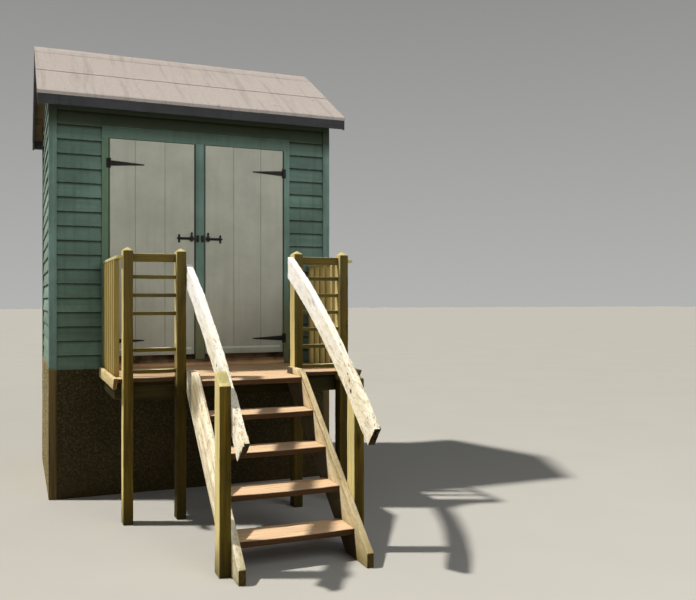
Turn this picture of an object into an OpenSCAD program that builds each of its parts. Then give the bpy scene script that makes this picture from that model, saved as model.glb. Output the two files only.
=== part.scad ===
// Boarded timber hut on a tall masonry plinth, with a raised deck and an open stair.
// Millimetres, +Z up, the stair towards -Y. The origin is on the ground under the
// middle of the whole object.

/* [Hut] */
// Width of the hut over its corner posts
hut_w = 2434; // [2100:2:3200]
// Depth of the hut over its corner posts
hut_d = 1830; // [1500:10:2600]
// Height of the masonry plinth
plinth_h = 1050; // [700:10:1300]
// Thickness of the plinth walls
plinth_t = 150; // [110:5:220]
// Height of the boarded front wall, from the plinth to the roof boards
wall_h = 2290; // [2200:10:2600]
// Thickness of a framed and boarded wall
wall_t = 75; // [65:1:100]
// Side of a square corner post
corner_post = 62; // [50:1:100]
// Thickness of the floor, joists and boards together
floor_t = 70; // [40:5:90]
// Play between pieces that lie on each other and were fitted on site
seat = 0.1; // [0.05:0.05:1]

/* [Cladding] */
// Height that each feather-edged board shows
board_lap = 118; // [90:1:160]
// How far the thick edge of a board lies behind the face of the corner posts
board_inset = 8; // [2:1:15]
// Thickness of a board at its lower edge less that at its upper edge
board_taper = 14; // [8:1:18]

/* [Roof] */
// Pitch of both slopes, in degrees
roof_pitch = 31; // [20:1:40]
// Thickness of the roof boards with their felt
roof_t = 24; // [18:1:40]
// How far the eaves stand out from the walls
eave_out = 150; // [80:5:250]
// How far the verges stand out from the gables
verge_out = 90; // [50:5:200]
// Height of the fascia boards
fascia_h = 100; // [70:5:150]
// Height of the bargeboards, measured plumb
barge_h = 110; // [80:5:160]
// Thickness of the fascia boards and bargeboards
trim_t = 18; // [15:1:25]
// Thickness of the felt lip that covers the top of the fascia
felt_lip = 6; // [3:1:10]
// Width of the ridge felt on each slope
ridge_felt_w = 150; // [100:5:250]
// Thickness of the ridge felt
ridge_felt_t = 5; // [3:1:8]
// Width of the ridge board and the purlins
purlin_w = 50; // [38:1:75]
// Height of the ridge board
ridge_beam_h = 120; // [90:5:150]
// Height of the purlins
purlin_h = 75; // [60:5:100]

/* [Doorway] */
// Clear width of the doorway between its jambs
doorway_w = 1517; // [1300:1:1700]
// How far the doorway lies to the right of the middle of the hut
doorway_off = 12; // [-60:1:60]
// Width of each door jamb
jamb_w = 58; // [40:1:80]
// Height of the head board over the doors
head_h = 96; // [70:1:130]
// Width of the fixed post between the doors
mullion_w = 84; // [60:1:110]
// How far the post between the doors stands in front of them
mullion_out = 10; // [0:1:20]
// Height of the sill in front of the doors
sill_h = 58; // [40:1:80]
// Height of the check at the back of the sill
sill_check_h = 110; // [80:1:125]
// Thickness of the check at the back of the sill
sill_check_t = 22; // [15:1:26]
// How far the sill stands out over the deck
sill_out = 22; // [10:1:40]

/* [Doors] */
// Height of a door
door_h = 1816; // [1600:1:1900]
// Height of the foot of the doors above the plinth
door_foot = 103; // [80:1:130]
// Gap around each door
door_gap = 5; // [5:1:8]
// Thickness of the upright boards of a door
door_board_t = 22; // [18:1:28]
// Width of the board at the hinge edge of a door
hinge_board_w = 208; // [150:1:260]
// Width of the middle board of a door
middle_board_w = 246; // [180:1:260]
// Depth of the V joints between the boards of a door
vee = 4; // [2:1:6]
// Height of the ledges behind a door
ledge_h = 110; // [80:5:140]
// Thickness of the ledges and braces behind a door
ledge_t = 25; // [18:1:26]
// Height of the drip rail at the foot of a door
drip_h = 62; // [45:1:80]
// How far the drip rail stands out
drip_out = 22; // [15:1:24]
// How far the drip rail stops short of the edges of a door
drip_end = 28; // [25:1:60]

/* [Hinges and bolts] */
// Length of a hinge strap from its pin
strap_l = 285; // [200:5:400]
// Height of a hinge strap at its root
strap_h = 44; // [30:1:60]
// Height of a hinge strap at its point
strap_tip_h = 10; // [6:1:16]
// Thickness of a hinge strap
strap_t = 5; // [3:1:6]
// Thickness of a hinge plate on the jamb
plate_t = 4; // [3:0.5:6]
// How far a hinge plate stops short of the edge of the door
plate_in = 2; // [1:0.5:4]
// Radius of the hinge pins
pin_r = 3.5; // [2.5:0.1:4]
// How far inside the edge of the door the pins stand
pin_in = 1; // [0:0.5:3]
// Play of the knuckles beside the door and the eyes
pin_clear = 1.5; // [1:0.1:3]
// Play of the pins in their eyes, and of the eyes between the knuckles
pin_play = 0.3; // [0.2:0.1:0.6]
// Radius of the hinge knuckles
knuckle_r = 7.5; // [6:0.1:8]
// Height of the eye of a hinge strap
eye_h = 24; // [18:1:28]
// Height of a hinge plate on the jamb
hinge_plate_h = 82; // [70:1:110]
// Width of a hinge plate on the jamb
hinge_plate_w = 22; // [18:1:40]
// Height of the lower straps above the foot of the doors
lower_strap_z = 125; // [90:1:250]
// Height of the upper straps above the foot of the doors
upper_strap_z = 1607; // [1350:1:1650]
// Height of the bolts above the foot of the doors
bolt_z = 997; // [800:1:1200]
// Length of the bolt fitting on each door
bolt_l = 132; // [100:1:180]
// Radius of the bolt rods
bolt_r = 7; // [4:0.5:8]
// Thickness of the bolt plates
bolt_plate_t = 4; // [3:0.5:6]
// Height of the bolt plates
bolt_plate_h = 22; // [16:1:26]
// Width of the cross piece at the outer end of a bolt plate
bolt_end_w = 18; // [8:1:24]
// Height of the cross piece at the outer end of a bolt plate
bolt_end_h = 56; // [40:2:70]
// How far a bolt plate stops short of the edge of the door
bolt_end_in = 4; // [2:1:8]
// Height of the keep that the bolt rod slides through
bolt_lug_h = 46; // [36:2:60]
// Width of the keep that the bolt rod slides through
bolt_lug_w = 24; // [12:1:24]
// Distance from the edge of the door to the middle of the keep
bolt_lug_in = 24; // [20:1:50]
// Radius of the bolt knobs
bolt_knob_r = 9; // [7:0.5:11]
// Height of the keeper plates on the mullion
keeper_h = 56; // [40:2:70]

/* [Deck] */
// How far the middle of the deck and stair lies to the right of the hut's middle
porch_off = 125; // [60:1:160]
// Width of the deck over its edge boards
deck_w = 1900; // [1700:5:2100]
// Depth of the deck in front of the hut
deck_d = 935; // [850:5:1200]
// Thickness of the deck boards
deck_board_t = 28; // [20:1:40]
// Width of the deck boards
deck_board_w = 150; // [95:1:180]
// Gap between two deck boards
deck_gap = 6; // [3:1:10]
// Height of the joists, the wall plate and the front bearer
joist_h = 130; // [100:5:170]
// Thickness of the joists and bearers
joist_t = 45; // [35:1:60]
// Thickness of the edge boards at the ends of the deck
edge_board_t = 27; // [18:1:30]
// Height of the edge boards
edge_board_h = 81; // [65:1:110]
// How far the edge boards stand above the deck
edge_board_up = 16; // [0:1:25]
// How far the edge boards run past the front of the deck
edge_board_out = 150; // [100:5:200]
// Length of the slanting cut on the front end of the edge boards
edge_board_cut = 60; // [20:5:90]

/* [Posts] */
// Width of the deck posts
post_w = 71; // [60:1:90]
// Depth of the deck posts, front to back
post_d = 108; // [75:1:120]
// How far the posts stand in front of the deck's edge
post_out = 45; // [30:1:60]
// Height of the deck posts to the foot of their weathered tops
post_h = 1978; // [1750:1:2150]
// Height of the weathered tops
post_cap_h = 30; // [15:1:45]
// How far the corner posts stand in from the sides of the deck
post_in = 76; // [60:1:110]
// Height of the lower posts of the stair to the foot of their weathered tops
low_post_h = 1116; // [950:1:1250]
// Depth of the lower posts, front to back
low_post_d = 120; // [90:1:140]
// Distance from the wall to the front of the left lower post
low_left_y = 2318; // [2150:2:2400]
// Distance from the wall to the front of the right lower post
low_right_y = 2175; // [2150:5:2400]

/* [Railings] */
// Height of the top rail of the front panels
panel_rail_h = 60; // [45:1:80]
// How far the top of the front panels lies below the shoulders of the posts
panel_drop = 18; // [5:1:100]
// Height of the thin bars of the front panels
bar_h = 28; // [20:1:35]
// Thickness of the bars of the front panels, front to back
bar_t = 35; // [25:1:45]
// Distance from one bar of the front panels to the next
bar_pitch = 133.5; // [115:0.5:140]
// Distance from the top of a front panel to the underside of its first thin bar
bar_drop = 185; // [150:5:250]
// Height of the underside of the lowest bar above the deck
bar_low = 33; // [20:1:60]
// Height of the capping of the side railings
capping_t = 22; // [15:1:30]
// Width of the capping of the side railings
capping_w = 45; // [30:1:46]
// How far the top of the side railings lies below the shoulders of the posts
side_rail_drop = 36; // [10:2:150]
// Width of a baluster, along the railing
baluster_w = 41; // [25:1:55]
// Thickness of a baluster
baluster_t = 41; // [18:1:42]
// Distance from one baluster to the next
baluster_pitch = 140; // [90:1:180]
// How far the balusters stand out from the outer faces of the posts
baluster_out = 2; // [0:1:8]
// How far the last baluster stands from the wall
baluster_first = 20; // [15:1:60]

/* [Stair] */
// Distance between the newels, which is the width over the stringers
stair_w = 840; // [700:2:1000]
// Thickness of the stringers
stringer_t = 45; // [35:1:55]
// Depth of the stringer boards, square to their edges
stringer_d = 280; // [260:5:330]
// How far the level tops of the stringers stand above the deck
stringer_up = 50; // [30:1:90]
// How far the sloping edge of the stringers passes above the top nosing, plumb
stringer_nose = 2; // [2:1:30]
// How much flatter the stringers lie than the line of the nosings, in degrees
stringer_lean = 2; // [0:0.5:3]
// Rise from one tread to the next
rise = 215; // [190:1:225]
// Going from one nosing to the next
going = 250.5; // [230:0.5:280]
// Number of treads, with the one that is level with the deck
tread_count = 5; // [4:1:5]
// Depth of the top tread, from the deck's edge to its nosing
landing_tread_d = 345; // [300:5:400]
// Thickness of the treads
tread_t = 42; // [30:1:50]
// Depth of the other treads, front to back
tread_d = 262; // [235:1:275]
// Depth of the housings that hold the treads
housing = 12; // [8:1:15]
// Height of the front corner of a stringer's foot above the ground
stringer_foot = 90; // [60:5:140]

/* [Handrails] */
// Depth of the handrail boards, square to their edges
handrail_d = 150; // [110:1:170]
// Thickness of the handrail boards
handrail_t = 45; // [35:1:55]
// Slope of the handrails from end to end, in degrees
handrail_slope = 34; // [30:0.1:38]
// How far the left handrail bows upwards in the middle
left_crown = 66; // [0:1:90]
// How far the right handrail bows upwards in the middle
right_crown = 78; // [0:1:90]
// How far the left handrail's top edge passes below the shoulder of its newel
left_drop = 101; // [20:1:200]
// How far the right handrail's top edge passes below the shoulder of its newel
right_drop = 36; // [20:1:200]
// Length of a handrail's top edge in front of the newel, measured level
handrail_run = 1610; // [1450:5:1700]
// How far a handrail runs back past the front of the newel
handrail_back = 27; // [20:1:80]

/* [Hidden] */
round_fn = 48;
bow_parts = 16;
paint_green = [0.43, 0.55, 0.50];
paint_white = [0.86, 0.86, 0.80];
masonry_grey = [0.36, 0.32, 0.25];
felt_grey = [0.72, 0.67, 0.64];
slate_grey = [0.28, 0.30, 0.32];
inside_wood = [0.62, 0.50, 0.36];
deck_brown = [0.55, 0.40, 0.31];
post_olive = [0.44, 0.40, 0.24];
weathered_white = [0.88, 0.84, 0.74];
iron_black = [0.08, 0.08, 0.08];

// The hut is laid out from the middle of its front at ground level, and then moved so
// that the origin is in the middle of the whole object.
handrail_end_y = -deck_d - post_out - handrail_run;
back_reach = hut_d + eave_out;
front_y = -(back_reach + handrail_end_y) / 2;

roof_fall = tan(roof_pitch);
roof_v = roof_t / cos(roof_pitch);
mid_y = hut_d / 2;
half_w = hut_w / 2;
roof_half_w = half_w + verge_out;
function roof_under(y) = plinth_h + wall_h + min(y, hut_d - y) * roof_fall;
function roof_top(y) = roof_under(y) + roof_v;

door_z = plinth_h + door_foot;
head_z = door_z + door_h;
doorway_l = doorway_off - doorway_w / 2;
doorway_r = doorway_off + doorway_w / 2;
leaf_w = (doorway_w - mullion_w) / 2 - 2 * door_gap;
pin_x = door_gap + pin_in;
pin_y = -knuckle_r - pin_clear;
bolt_sink = 1;

deck_z = plinth_h;
deck_edge_x = deck_w / 2;
post_x = deck_edge_x - post_in;
post_front_y = -deck_d - post_out;
post_back_y = post_front_y + post_d;
newel_x = stair_w / 2;
nosing_y = -deck_d - landing_tread_d;
stringer_angle = atan(rise / going) - stringer_lean;
stringer_fall = tan(stringer_angle);
stringer_v = stringer_d / cos(stringer_angle);
stringer_z = deck_z + stringer_up;
handrail_fall = tan(handrail_slope) * handrail_run;
function stringer_edge(y) = deck_z + stringer_nose + (y - nosing_y) * stringer_fall;
function stringer_reach(z) = nosing_y + (z - deck_z - stringer_nose) / stringer_fall;

// Shapes that many pieces share
module placed() translate([0, front_y, 0]) children();

module on_porch() placed() translate([porch_off, 0, 0]) children();

module block(x, y, z) {
    translate([x[0], y[0], z[0]]) cube([x[1] - x[0], y[1] - y[0], z[1] - z[0]]);
}

module along_x(x) {
    translate([x[0], 0, 0]) rotate([90, 0, 90]) linear_extrude(x[1] - x[0]) children();
}

module along_y(y) {
    translate([0, y[1], 0]) rotate([90, 0, 0]) linear_extrude(y[1] - y[0]) children();
}

module under_roof() {
    intersection() {
        children();
        along_x([-hut_w, hut_w]) polygon([
            [-eave_out, 0], [-eave_out, roof_under(-eave_out)], [mid_y, roof_under(mid_y)],
            [back_reach, roof_under(back_reach)], [back_reach, 0]
        ]);
    }
}

// Outline of a feather-edged boarded wall: the distance behind the posts' face, and the height
module boarded_outline(top) {
    lap_count = ceil((top - plinth_h) / board_lap);
    laps = [for (i = [0:lap_count - 1], edge = [0, 1])
        [board_inset + edge * board_taper, min(top, plinth_h + (i + edge) * board_lap)]];
    polygon(concat(laps, [[wall_t, top], [wall_t, plinth_h]]));
}

// Four-way weathered post, as two crossing outlines that share its body
module weathered_post(x, y, top) {
    mid_x = (x[0] + x[1]) / 2;
    mid = (y[0] + y[1]) / 2;
    intersection() {
        along_y(y) polygon([
            [x[0], 0], [x[0], top], [mid_x, top + post_cap_h], [x[1], top], [x[1], 0]
        ]);
        along_x(x) polygon([
            [y[0], 0], [y[0], top], [mid, top + post_cap_h], [y[1], top], [y[1], 0]
        ]);
    }
}

// Masonry plinth and floor
module plinth_long_wall(y) {
    color(masonry_grey) placed()
        block([-half_w + corner_post, half_w - corner_post], y, [0, plinth_h]);
}

module plinth_front() plinth_long_wall([0, plinth_t]);

module plinth_back() plinth_long_wall([hut_d - plinth_t, hut_d]);

module plinth_end_wall(side) {
    color(masonry_grey) placed() mirror([side, 0, 0]) difference() {
        block([half_w - plinth_t, half_w], [corner_post, hut_d - corner_post], [0, plinth_h]);
        block([half_w - plinth_t - 1, half_w - corner_post], [0, plinth_t], [-1, plinth_h + 1]);
        block([half_w - plinth_t - 1, half_w - corner_post], [hut_d - plinth_t, hut_d],
            [-1, plinth_h + 1]);
    }
}

module plinth_left() plinth_end_wall(1);

module plinth_right() plinth_end_wall(0);

module floor() {
    color(inside_wood) placed()
        block([-half_w + wall_t, half_w - wall_t], [wall_t, hut_d - wall_t],
            [plinth_h, plinth_h + floor_t]);
}

// Corner posts from the ground to the roof
module corner_posts() {
    color(paint_green) placed() for (side = [0, 1], y = [0, hut_d - corner_post])
        mirror([side, 0, 0]) under_roof()
            block([half_w - corner_post, half_w], [y, y + corner_post], [0, roof_top(mid_y)]);
}

// Boarded walls
module long_wall(x) {
    under_roof() along_x(x) boarded_outline(roof_top(wall_t));
}

module front_wall_left() {
    color(paint_green) placed() long_wall([-half_w + corner_post, doorway_l - jamb_w]);
}

module front_wall_right() {
    color(paint_green) placed() long_wall([doorway_r + jamb_w, half_w - corner_post]);
}

module front_wall_top() {
    color(paint_green) placed() intersection() {
        long_wall([doorway_l - jamb_w, doorway_r + jamb_w]);
        block([-half_w, half_w], [-1, wall_t + 1], [head_z + head_h, roof_top(mid_y)]);
    }
}

module back_wall() {
    color(paint_green) placed() translate([0, hut_d, 0]) mirror([0, 1, 0])
        long_wall([-half_w + corner_post, half_w - corner_post]);
}

module gable_wall(side) {
    color(paint_green) placed() mirror([side, 0, 0]) difference() {
        under_roof() along_y([corner_post, hut_d - corner_post])
            translate([half_w, 0]) mirror([1, 0]) boarded_outline(roof_top(mid_y));
        if (wall_t > corner_post) for (y = [[0, wall_t], [hut_d - wall_t, hut_d]])
            block([half_w - wall_t - 1, half_w - corner_post], y, [0, roof_top(mid_y)]);
    }
}

module left_gable_wall() gable_wall(1);

module right_gable_wall() gable_wall(0);

// Roof
module roof_slope() {
    difference() {
        along_x([-roof_half_w, roof_half_w]) polygon([
            [-eave_out, roof_top(-eave_out)], [mid_y, roof_top(mid_y)],
            [mid_y, roof_under(mid_y)], [-eave_out, roof_under(-eave_out)]
        ]);
        along_x([-roof_half_w - 1, roof_half_w + 1]) polygon([
            [-eave_out - 1, roof_top(-eave_out - 1) - felt_lip],
            [-eave_out + trim_t, roof_top(-eave_out + trim_t) - felt_lip],
            [-eave_out + trim_t, 0], [-eave_out - 1, 0]
        ]);
        for (side = [0, 1]) mirror([side, 0, 0])
            along_x([roof_half_w - trim_t, roof_half_w + 1]) polygon([
                [-eave_out - 1, roof_top(-eave_out - 1) - felt_lip],
                [mid_y + 1, roof_top(mid_y) - felt_lip + roof_fall],
                [mid_y + 1, 0], [-eave_out - 1, 0]
            ]);
    }
}

module roof_front() color(felt_grey) placed() roof_slope();

module roof_back() {
    color(felt_grey) placed() translate([0, hut_d, 0]) mirror([0, 1, 0]) roof_slope();
}

module ridge_felt() {
    top = roof_top(mid_y) + seat;
    low = top - ridge_felt_w * roof_fall;
    color(felt_grey) placed() along_x([-roof_half_w, roof_half_w]) polygon([
        [mid_y - ridge_felt_w, low], [mid_y, top], [mid_y + ridge_felt_w, low],
        [mid_y + ridge_felt_w, low + ridge_felt_t], [mid_y, top + ridge_felt_t],
        [mid_y - ridge_felt_w, low + ridge_felt_t]
    ]);
}

module purlin_outline(y, depth) {
    half = purlin_w / 2;
    low = min(roof_under(y - half), roof_under(y + half)) - depth;
    polygon([
        [y - half, low], [y - half, roof_under(y - half) - seat], [y, roof_under(y) - seat],
        [y + half, roof_under(y + half) - seat], [y + half, low]
    ]);
}

module roof_timbers() {
    inside = [-half_w + wall_t, half_w - wall_t];
    color(inside_wood) placed() {
        along_x(inside) purlin_outline(mid_y, ridge_beam_h);
        for (y = [mid_y / 2, hut_d - mid_y / 2]) along_x(inside) purlin_outline(y, purlin_h);
    }
}

module fascia() {
    along_x([-roof_half_w + trim_t, roof_half_w - trim_t]) polygon([
        [-eave_out, roof_top(-eave_out) - felt_lip],
        [-eave_out + trim_t, roof_top(-eave_out + trim_t) - felt_lip],
        [-eave_out + trim_t, roof_top(-eave_out) - fascia_h],
        [-eave_out, roof_top(-eave_out) - fascia_h]
    ]);
}

module fascia_boards() {
    color(slate_grey) placed() {
        fascia();
        translate([0, hut_d, 0]) mirror([0, 1, 0]) fascia();
    }
}

module bargeboards() {
    color(slate_grey) placed() for (side = [0, 1]) mirror([side, 0, 0])
        along_x([roof_half_w - trim_t, roof_half_w]) polygon([
            [-eave_out, roof_top(-eave_out) - felt_lip], [mid_y, roof_top(mid_y) - felt_lip],
            [back_reach, roof_top(back_reach) - felt_lip],
            [back_reach, roof_top(back_reach) - barge_h],
            [mid_y, roof_top(mid_y) - barge_h], [-eave_out, roof_top(-eave_out) - barge_h]
        ]);
}

// Door frame
module door_jambs() {
    color(paint_green) placed() for (x = [doorway_l - jamb_w, doorway_r])
        block([x, x + jamb_w], [0, wall_t], [plinth_h, head_z]);
}

module door_head() {
    color(paint_green) placed()
        block([doorway_l - jamb_w, doorway_r + jamb_w], [0, wall_t], [head_z, head_z + head_h]);
}

module door_mullion() {
    half = mullion_w / 2;
    color(paint_green) placed() translate([doorway_off, 0, 0])
        along_x([-half, half]) polygon([
            [-mullion_out, plinth_h + sill_h], [-mullion_out, head_z], [wall_t, head_z],
            [wall_t, plinth_h + sill_check_h], [wall_t - sill_check_t, plinth_h + sill_check_h],
            [wall_t - sill_check_t, plinth_h + sill_h]
        ]);
}

module door_sill() {
    color(deck_brown) placed() along_x([doorway_l, doorway_r]) polygon([
        [-sill_out, plinth_h], [-sill_out, plinth_h + sill_h],
        [wall_t - sill_check_t, plinth_h + sill_h], [wall_t - sill_check_t, plinth_h + sill_check_h],
        [wall_t, plinth_h + sill_check_h], [wall_t, plinth_h]
    ]);
}

// Doors, each drawn with its hinge edge at the origin and opening towards -Y
module at_left_door() placed() translate([doorway_l, 0, door_z]) children();

module at_right_door() placed() translate([doorway_r, 0, door_z]) mirror([1, 0, 0]) children();

module door_brace(z0, z1) {
    brace_w = ledge_h;
    start = door_gap + drip_end;
    end = door_gap + leaf_w - drip_end;
    along_y([door_board_t, door_board_t + ledge_t]) polygon([
        [start, z0], [start + brace_w, z0], [end, z1], [end - brace_w, z1]
    ]);
}

module door_leaf() {
    joints = [hinge_board_w, hinge_board_w + middle_board_w];
    grooves = [for (x = joints, corner = [-1, 0, 1]) [x + corner * vee, corner == 0 ? vee : 0]];
    ledges = [ledge_h, (door_h - ledge_h) / 2, door_h - 2 * ledge_h];
    translate([door_gap, 0, 0]) linear_extrude(door_h - door_gap) polygon(concat(
        [[0, 0]], grooves, [[leaf_w, 0], [leaf_w, door_board_t], [0, door_board_t]]
    ));
    for (z = ledges)
        block([door_gap + drip_end, door_gap + leaf_w - drip_end],
            [door_board_t, door_board_t + ledge_t], [z, z + ledge_h]);
    for (i = [0, 1]) door_brace(ledges[i] + ledge_h, ledges[i + 1]);
    along_x([door_gap + drip_end, door_gap + leaf_w - drip_end]) polygon([
        [0, 0], [-drip_out, 0], [-drip_out, drip_h / 3], [0, drip_h]
    ]);
}

module hinge_strap() {
    root = knuckle_r + pin_clear;
    half_eye = eye_h / 2;
    translate([pin_x, 0, 0]) difference() {
        union() {
            translate([0, pin_y, -half_eye]) cylinder(r = knuckle_r, h = eye_h, $fn = round_fn);
            along_y([-strap_t, 0]) polygon([
                [0, -half_eye], [root, -half_eye], [root, -strap_h / 2],
                [strap_l - strap_tip_h, -strap_tip_h / 2], [strap_l, 0],
                [strap_l - strap_tip_h, strap_tip_h / 2], [root, strap_h / 2],
                [root, half_eye], [0, half_eye]
            ]);
        }
        translate([0, pin_y, -strap_h])
            cylinder(r = pin_r + pin_play, h = 2 * strap_h, $fn = round_fn);
    }
}

module hinge_plate() {
    half_eye = eye_h / 2 + pin_play;
    half_plate = hinge_plate_h / 2;
    inner = door_gap - plate_in;
    notch = pin_x - knuckle_r - pin_clear;
    along_y([-plate_t, 0]) polygon([
        [-hinge_plate_w, -half_plate], [inner, -half_plate], [inner, -half_eye],
        [notch, -half_eye], [notch, half_eye], [inner, half_eye], [inner, half_plate],
        [-hinge_plate_w, half_plate]
    ]);
    translate([pin_x, pin_y, 0]) {
        translate([0, 0, -half_plate]) cylinder(r = pin_r, h = hinge_plate_h, $fn = round_fn);
        for (z = [-half_plate, half_eye])
            translate([0, 0, z])
                cylinder(r = knuckle_r, h = half_plate - half_eye, $fn = round_fn);
    }
}

module bolt_fitting() {
    free_edge = door_gap + leaf_w;
    start = free_edge - bolt_l;
    lug_x = free_edge - bolt_lug_in;
    rod_y = bolt_sink - bolt_plate_t - bolt_r;
    along_y([-bolt_plate_t, 0]) {
        translate([start, bolt_z - bolt_plate_h / 2])
            square([bolt_l - bolt_end_in, bolt_plate_h]);
        translate([start, bolt_z]) square([bolt_end_w, bolt_end_h], center = true);
        for (side = [-1, 1]) translate([start, bolt_z + side * bolt_end_h / 2])
            circle(r = bolt_knob_r, $fn = round_fn);
    }
    translate([start - bolt_end_w, rod_y, bolt_z]) rotate([0, 90, 0])
        cylinder(r = bolt_r, h = bolt_l + bolt_end_w - bolt_end_in / 2, $fn = round_fn);
    block([lug_x - bolt_lug_w / 2, lug_x + bolt_lug_w / 2], [rod_y - bolt_r - bolt_sink, 0],
        [bolt_z - bolt_lug_h / 2, bolt_z + bolt_lug_h / 2]);
    translate([lug_x, rod_y, bolt_z]) {
        cylinder(r = bolt_r - bolt_sink, h = bolt_lug_h, $fn = round_fn);
        translate([0, 0, bolt_lug_h]) sphere(r = bolt_knob_r, $fn = round_fn);
    }
}

module door_straps() {
    for (z = [lower_strap_z, upper_strap_z]) translate([0, 0, z]) hinge_strap();
}

module left_door() color(paint_white) at_left_door() door_leaf();

module left_door_straps() color(iron_black) at_left_door() door_straps();

module left_bolt() color(iron_black) at_left_door() bolt_fitting();

module right_door() color(paint_white) at_right_door() door_leaf();

module right_door_straps() color(iron_black) at_right_door() door_straps();

module right_bolt() color(iron_black) at_right_door() bolt_fitting();

module hinge_plates() {
    color(iron_black) for (z = [lower_strap_z, upper_strap_z]) {
        at_left_door() translate([0, 0, z]) hinge_plate();
        at_right_door() translate([0, 0, z]) hinge_plate();
    }
}

module bolt_keeper() {
    keeper_w = mullion_w / 4;
    color(iron_black) placed() translate([doorway_off, -mullion_out, door_z + bolt_z])
        for (side = [-1, 1]) along_y([-2 * bolt_r - bolt_plate_t, 0])
            translate([side * keeper_w, 0]) square([keeper_w, keeper_h], center = true);
}

// Deck
module post_notches() {
    for (side = [-1, 1], inner = [newel_x, post_x - post_w])
        block(side > 0 ? [inner, inner + post_w] : [-inner - post_w, -inner],
            [post_front_y, post_back_y], [0, post_h]);
}

module deck_boards() {
    inner_x = deck_edge_x - edge_board_t;
    pitch = deck_board_w + deck_gap;
    count = ceil(deck_d / pitch);
    color(deck_brown) on_porch() difference() {
        for (i = [0:count - 1])
            block([-inner_x, inner_x], [max(-deck_d, -i * pitch - deck_board_w), -i * pitch],
                [deck_z - deck_board_t, deck_z]);
        post_notches();
    }
}

module deck_joists() {
    top = deck_z - deck_board_t;
    inner_x = deck_edge_x - edge_board_t;
    spacing = (2 * inner_x - joist_t) / 4;
    heights = [top - joist_h, top];
    color(post_olive) on_porch() {
        block([-inner_x, inner_x], [-joist_t, 0], heights);
        block([-inner_x, inner_x], [post_back_y, post_back_y + joist_t], heights);
        for (i = [0:4])
            block([-inner_x + i * spacing, -inner_x + i * spacing + joist_t],
                [post_back_y + joist_t + seat, -joist_t - seat], heights);
    }
}

module deck_edge_boards() {
    top = deck_z + edge_board_up;
    low = top - edge_board_h;
    reach = -deck_d - edge_board_out;
    color(weathered_white) on_porch() for (side = [0, 1]) mirror([side, 0, 0])
        along_x([deck_edge_x - edge_board_t, deck_edge_x]) polygon([
            [0, low], [0, top], [reach, top], [reach + edge_board_cut, low]
        ]);
}

module post_pair(inner) {
    color(post_olive) on_porch() for (side = [0, 1]) mirror([side, 0, 0])
        weathered_post([inner, inner + post_w], [post_front_y, post_back_y], post_h);
}

module deck_corner_posts() post_pair(post_x - post_w);

module newels() post_pair(newel_x);

module low_posts() {
    color(post_olive) on_porch() for (side = [0, 1]) mirror([side, 0, 0]) {
        front = side == 1 ? -low_left_y : -low_right_y;
        weathered_post([newel_x, newel_x + post_w], [front, front + low_post_d], low_post_h);
    }
}

// Front panels, like ladders between the posts. One bar of the left panel is lost.
module front_panel(side, lost_bar) {
    x = [newel_x + post_w, post_x - post_w];
    y = [post_front_y + (post_d - bar_t) / 2, post_front_y + (post_d + bar_t) / 2];
    top = post_h - panel_drop;
    low = deck_z + bar_low;
    last = floor((top - bar_drop - low) / bar_pitch) - 1;
    color(post_olive) on_porch() mirror([side, 0, 0]) {
        block(x, y, [top - panel_rail_h, top]);
        for (i = [0:last]) if (i != lost_bar)
            translate([0, 0, top - bar_drop - i * bar_pitch]) block(x, y, [0, bar_h]);
        block(x, y, [low, low + bar_h]);
    }
}

module front_panel_left() front_panel(1, 3);

module front_panel_right() front_panel(0, -1);

// Side railings: balusters that stand on the deck outside the posts, under a capping
module side_railing(side) {
    top = post_h - side_rail_drop;
    run = -post_back_y - baluster_first;
    count = floor((run - baluster_w) / baluster_pitch) + 1;
    color(post_olive) on_porch() mirror([side, 0, 0]) {
        block([post_x, post_x + capping_w], [post_front_y + post_out / 2, 0],
            [top - capping_t, top]);
        for (i = [0:count - 1])
            translate([post_x + baluster_out, -baluster_first - baluster_w - i * baluster_pitch,
                    deck_z])
                cube([baluster_t, baluster_w, top - capping_t - deck_z]);
    }
}

module side_railing_left() side_railing(1);

module side_railing_right() side_railing(0);

// Stair
module treads(reach) {
    half = newel_x - stringer_t + reach;
    for (i = [0:tread_count - 1]) {
        nose = nosing_y - i * going;
        back = i == 0 ? -deck_d : nose + tread_d;
        block([-half, half], [nose, back], [deck_z - i * rise - tread_t, deck_z - i * rise]);
    }
}

module stringers() {
    foot_y = stringer_reach(stringer_foot);
    heel_y = stringer_reach(stringer_v);
    color(weathered_white) on_porch() difference() {
        for (side = [0, 1]) mirror([side, 0, 0])
            along_x([newel_x - stringer_t, newel_x]) polygon([
                [-deck_d, stringer_z], [stringer_reach(stringer_z), stringer_z],
                [foot_y, stringer_foot], [foot_y, 0], [heel_y, 0],
                [-deck_d, stringer_edge(-deck_d) - stringer_v]
            ]);
        treads(housing);
    }
}

module stair_treads() color(deck_brown) on_porch() treads(housing);

// Handrails: bowed boards on edge, on the inner faces of the newels and the lower posts
module handrail_board(side, drop, crown) {
    back = -handrail_back / handrail_run;
    steps = [for (i = [0:bow_parts]) back + (1 - back) * i / bow_parts];
    top = [for (t = steps) [
        post_front_y - t * handrail_run,
        post_h - drop - t * handrail_fall + 4 * crown * t * (1 - t)
    ]];
    angles = [for (t = steps) atan((handrail_fall - 4 * crown * (1 - 2 * t)) / handrail_run)];
    under = [for (i = [bow_parts:-1:1])
        top[i] + handrail_d * [sin(angles[i]), -cos(angles[i])]];
    heel = [top[0][0], top[0][1] - handrail_d / cos(angles[0])];
    color(weathered_white) on_porch() mirror([side, 0, 0])
        along_x([newel_x - handrail_t, newel_x])
            polygon(concat(top, [for (q = under) if (q[0] < heel[0]) q], [heel]));
}

module handrail_left() handrail_board(1, left_drop, left_crown);

module handrail_right() handrail_board(0, right_drop, right_crown);

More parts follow.
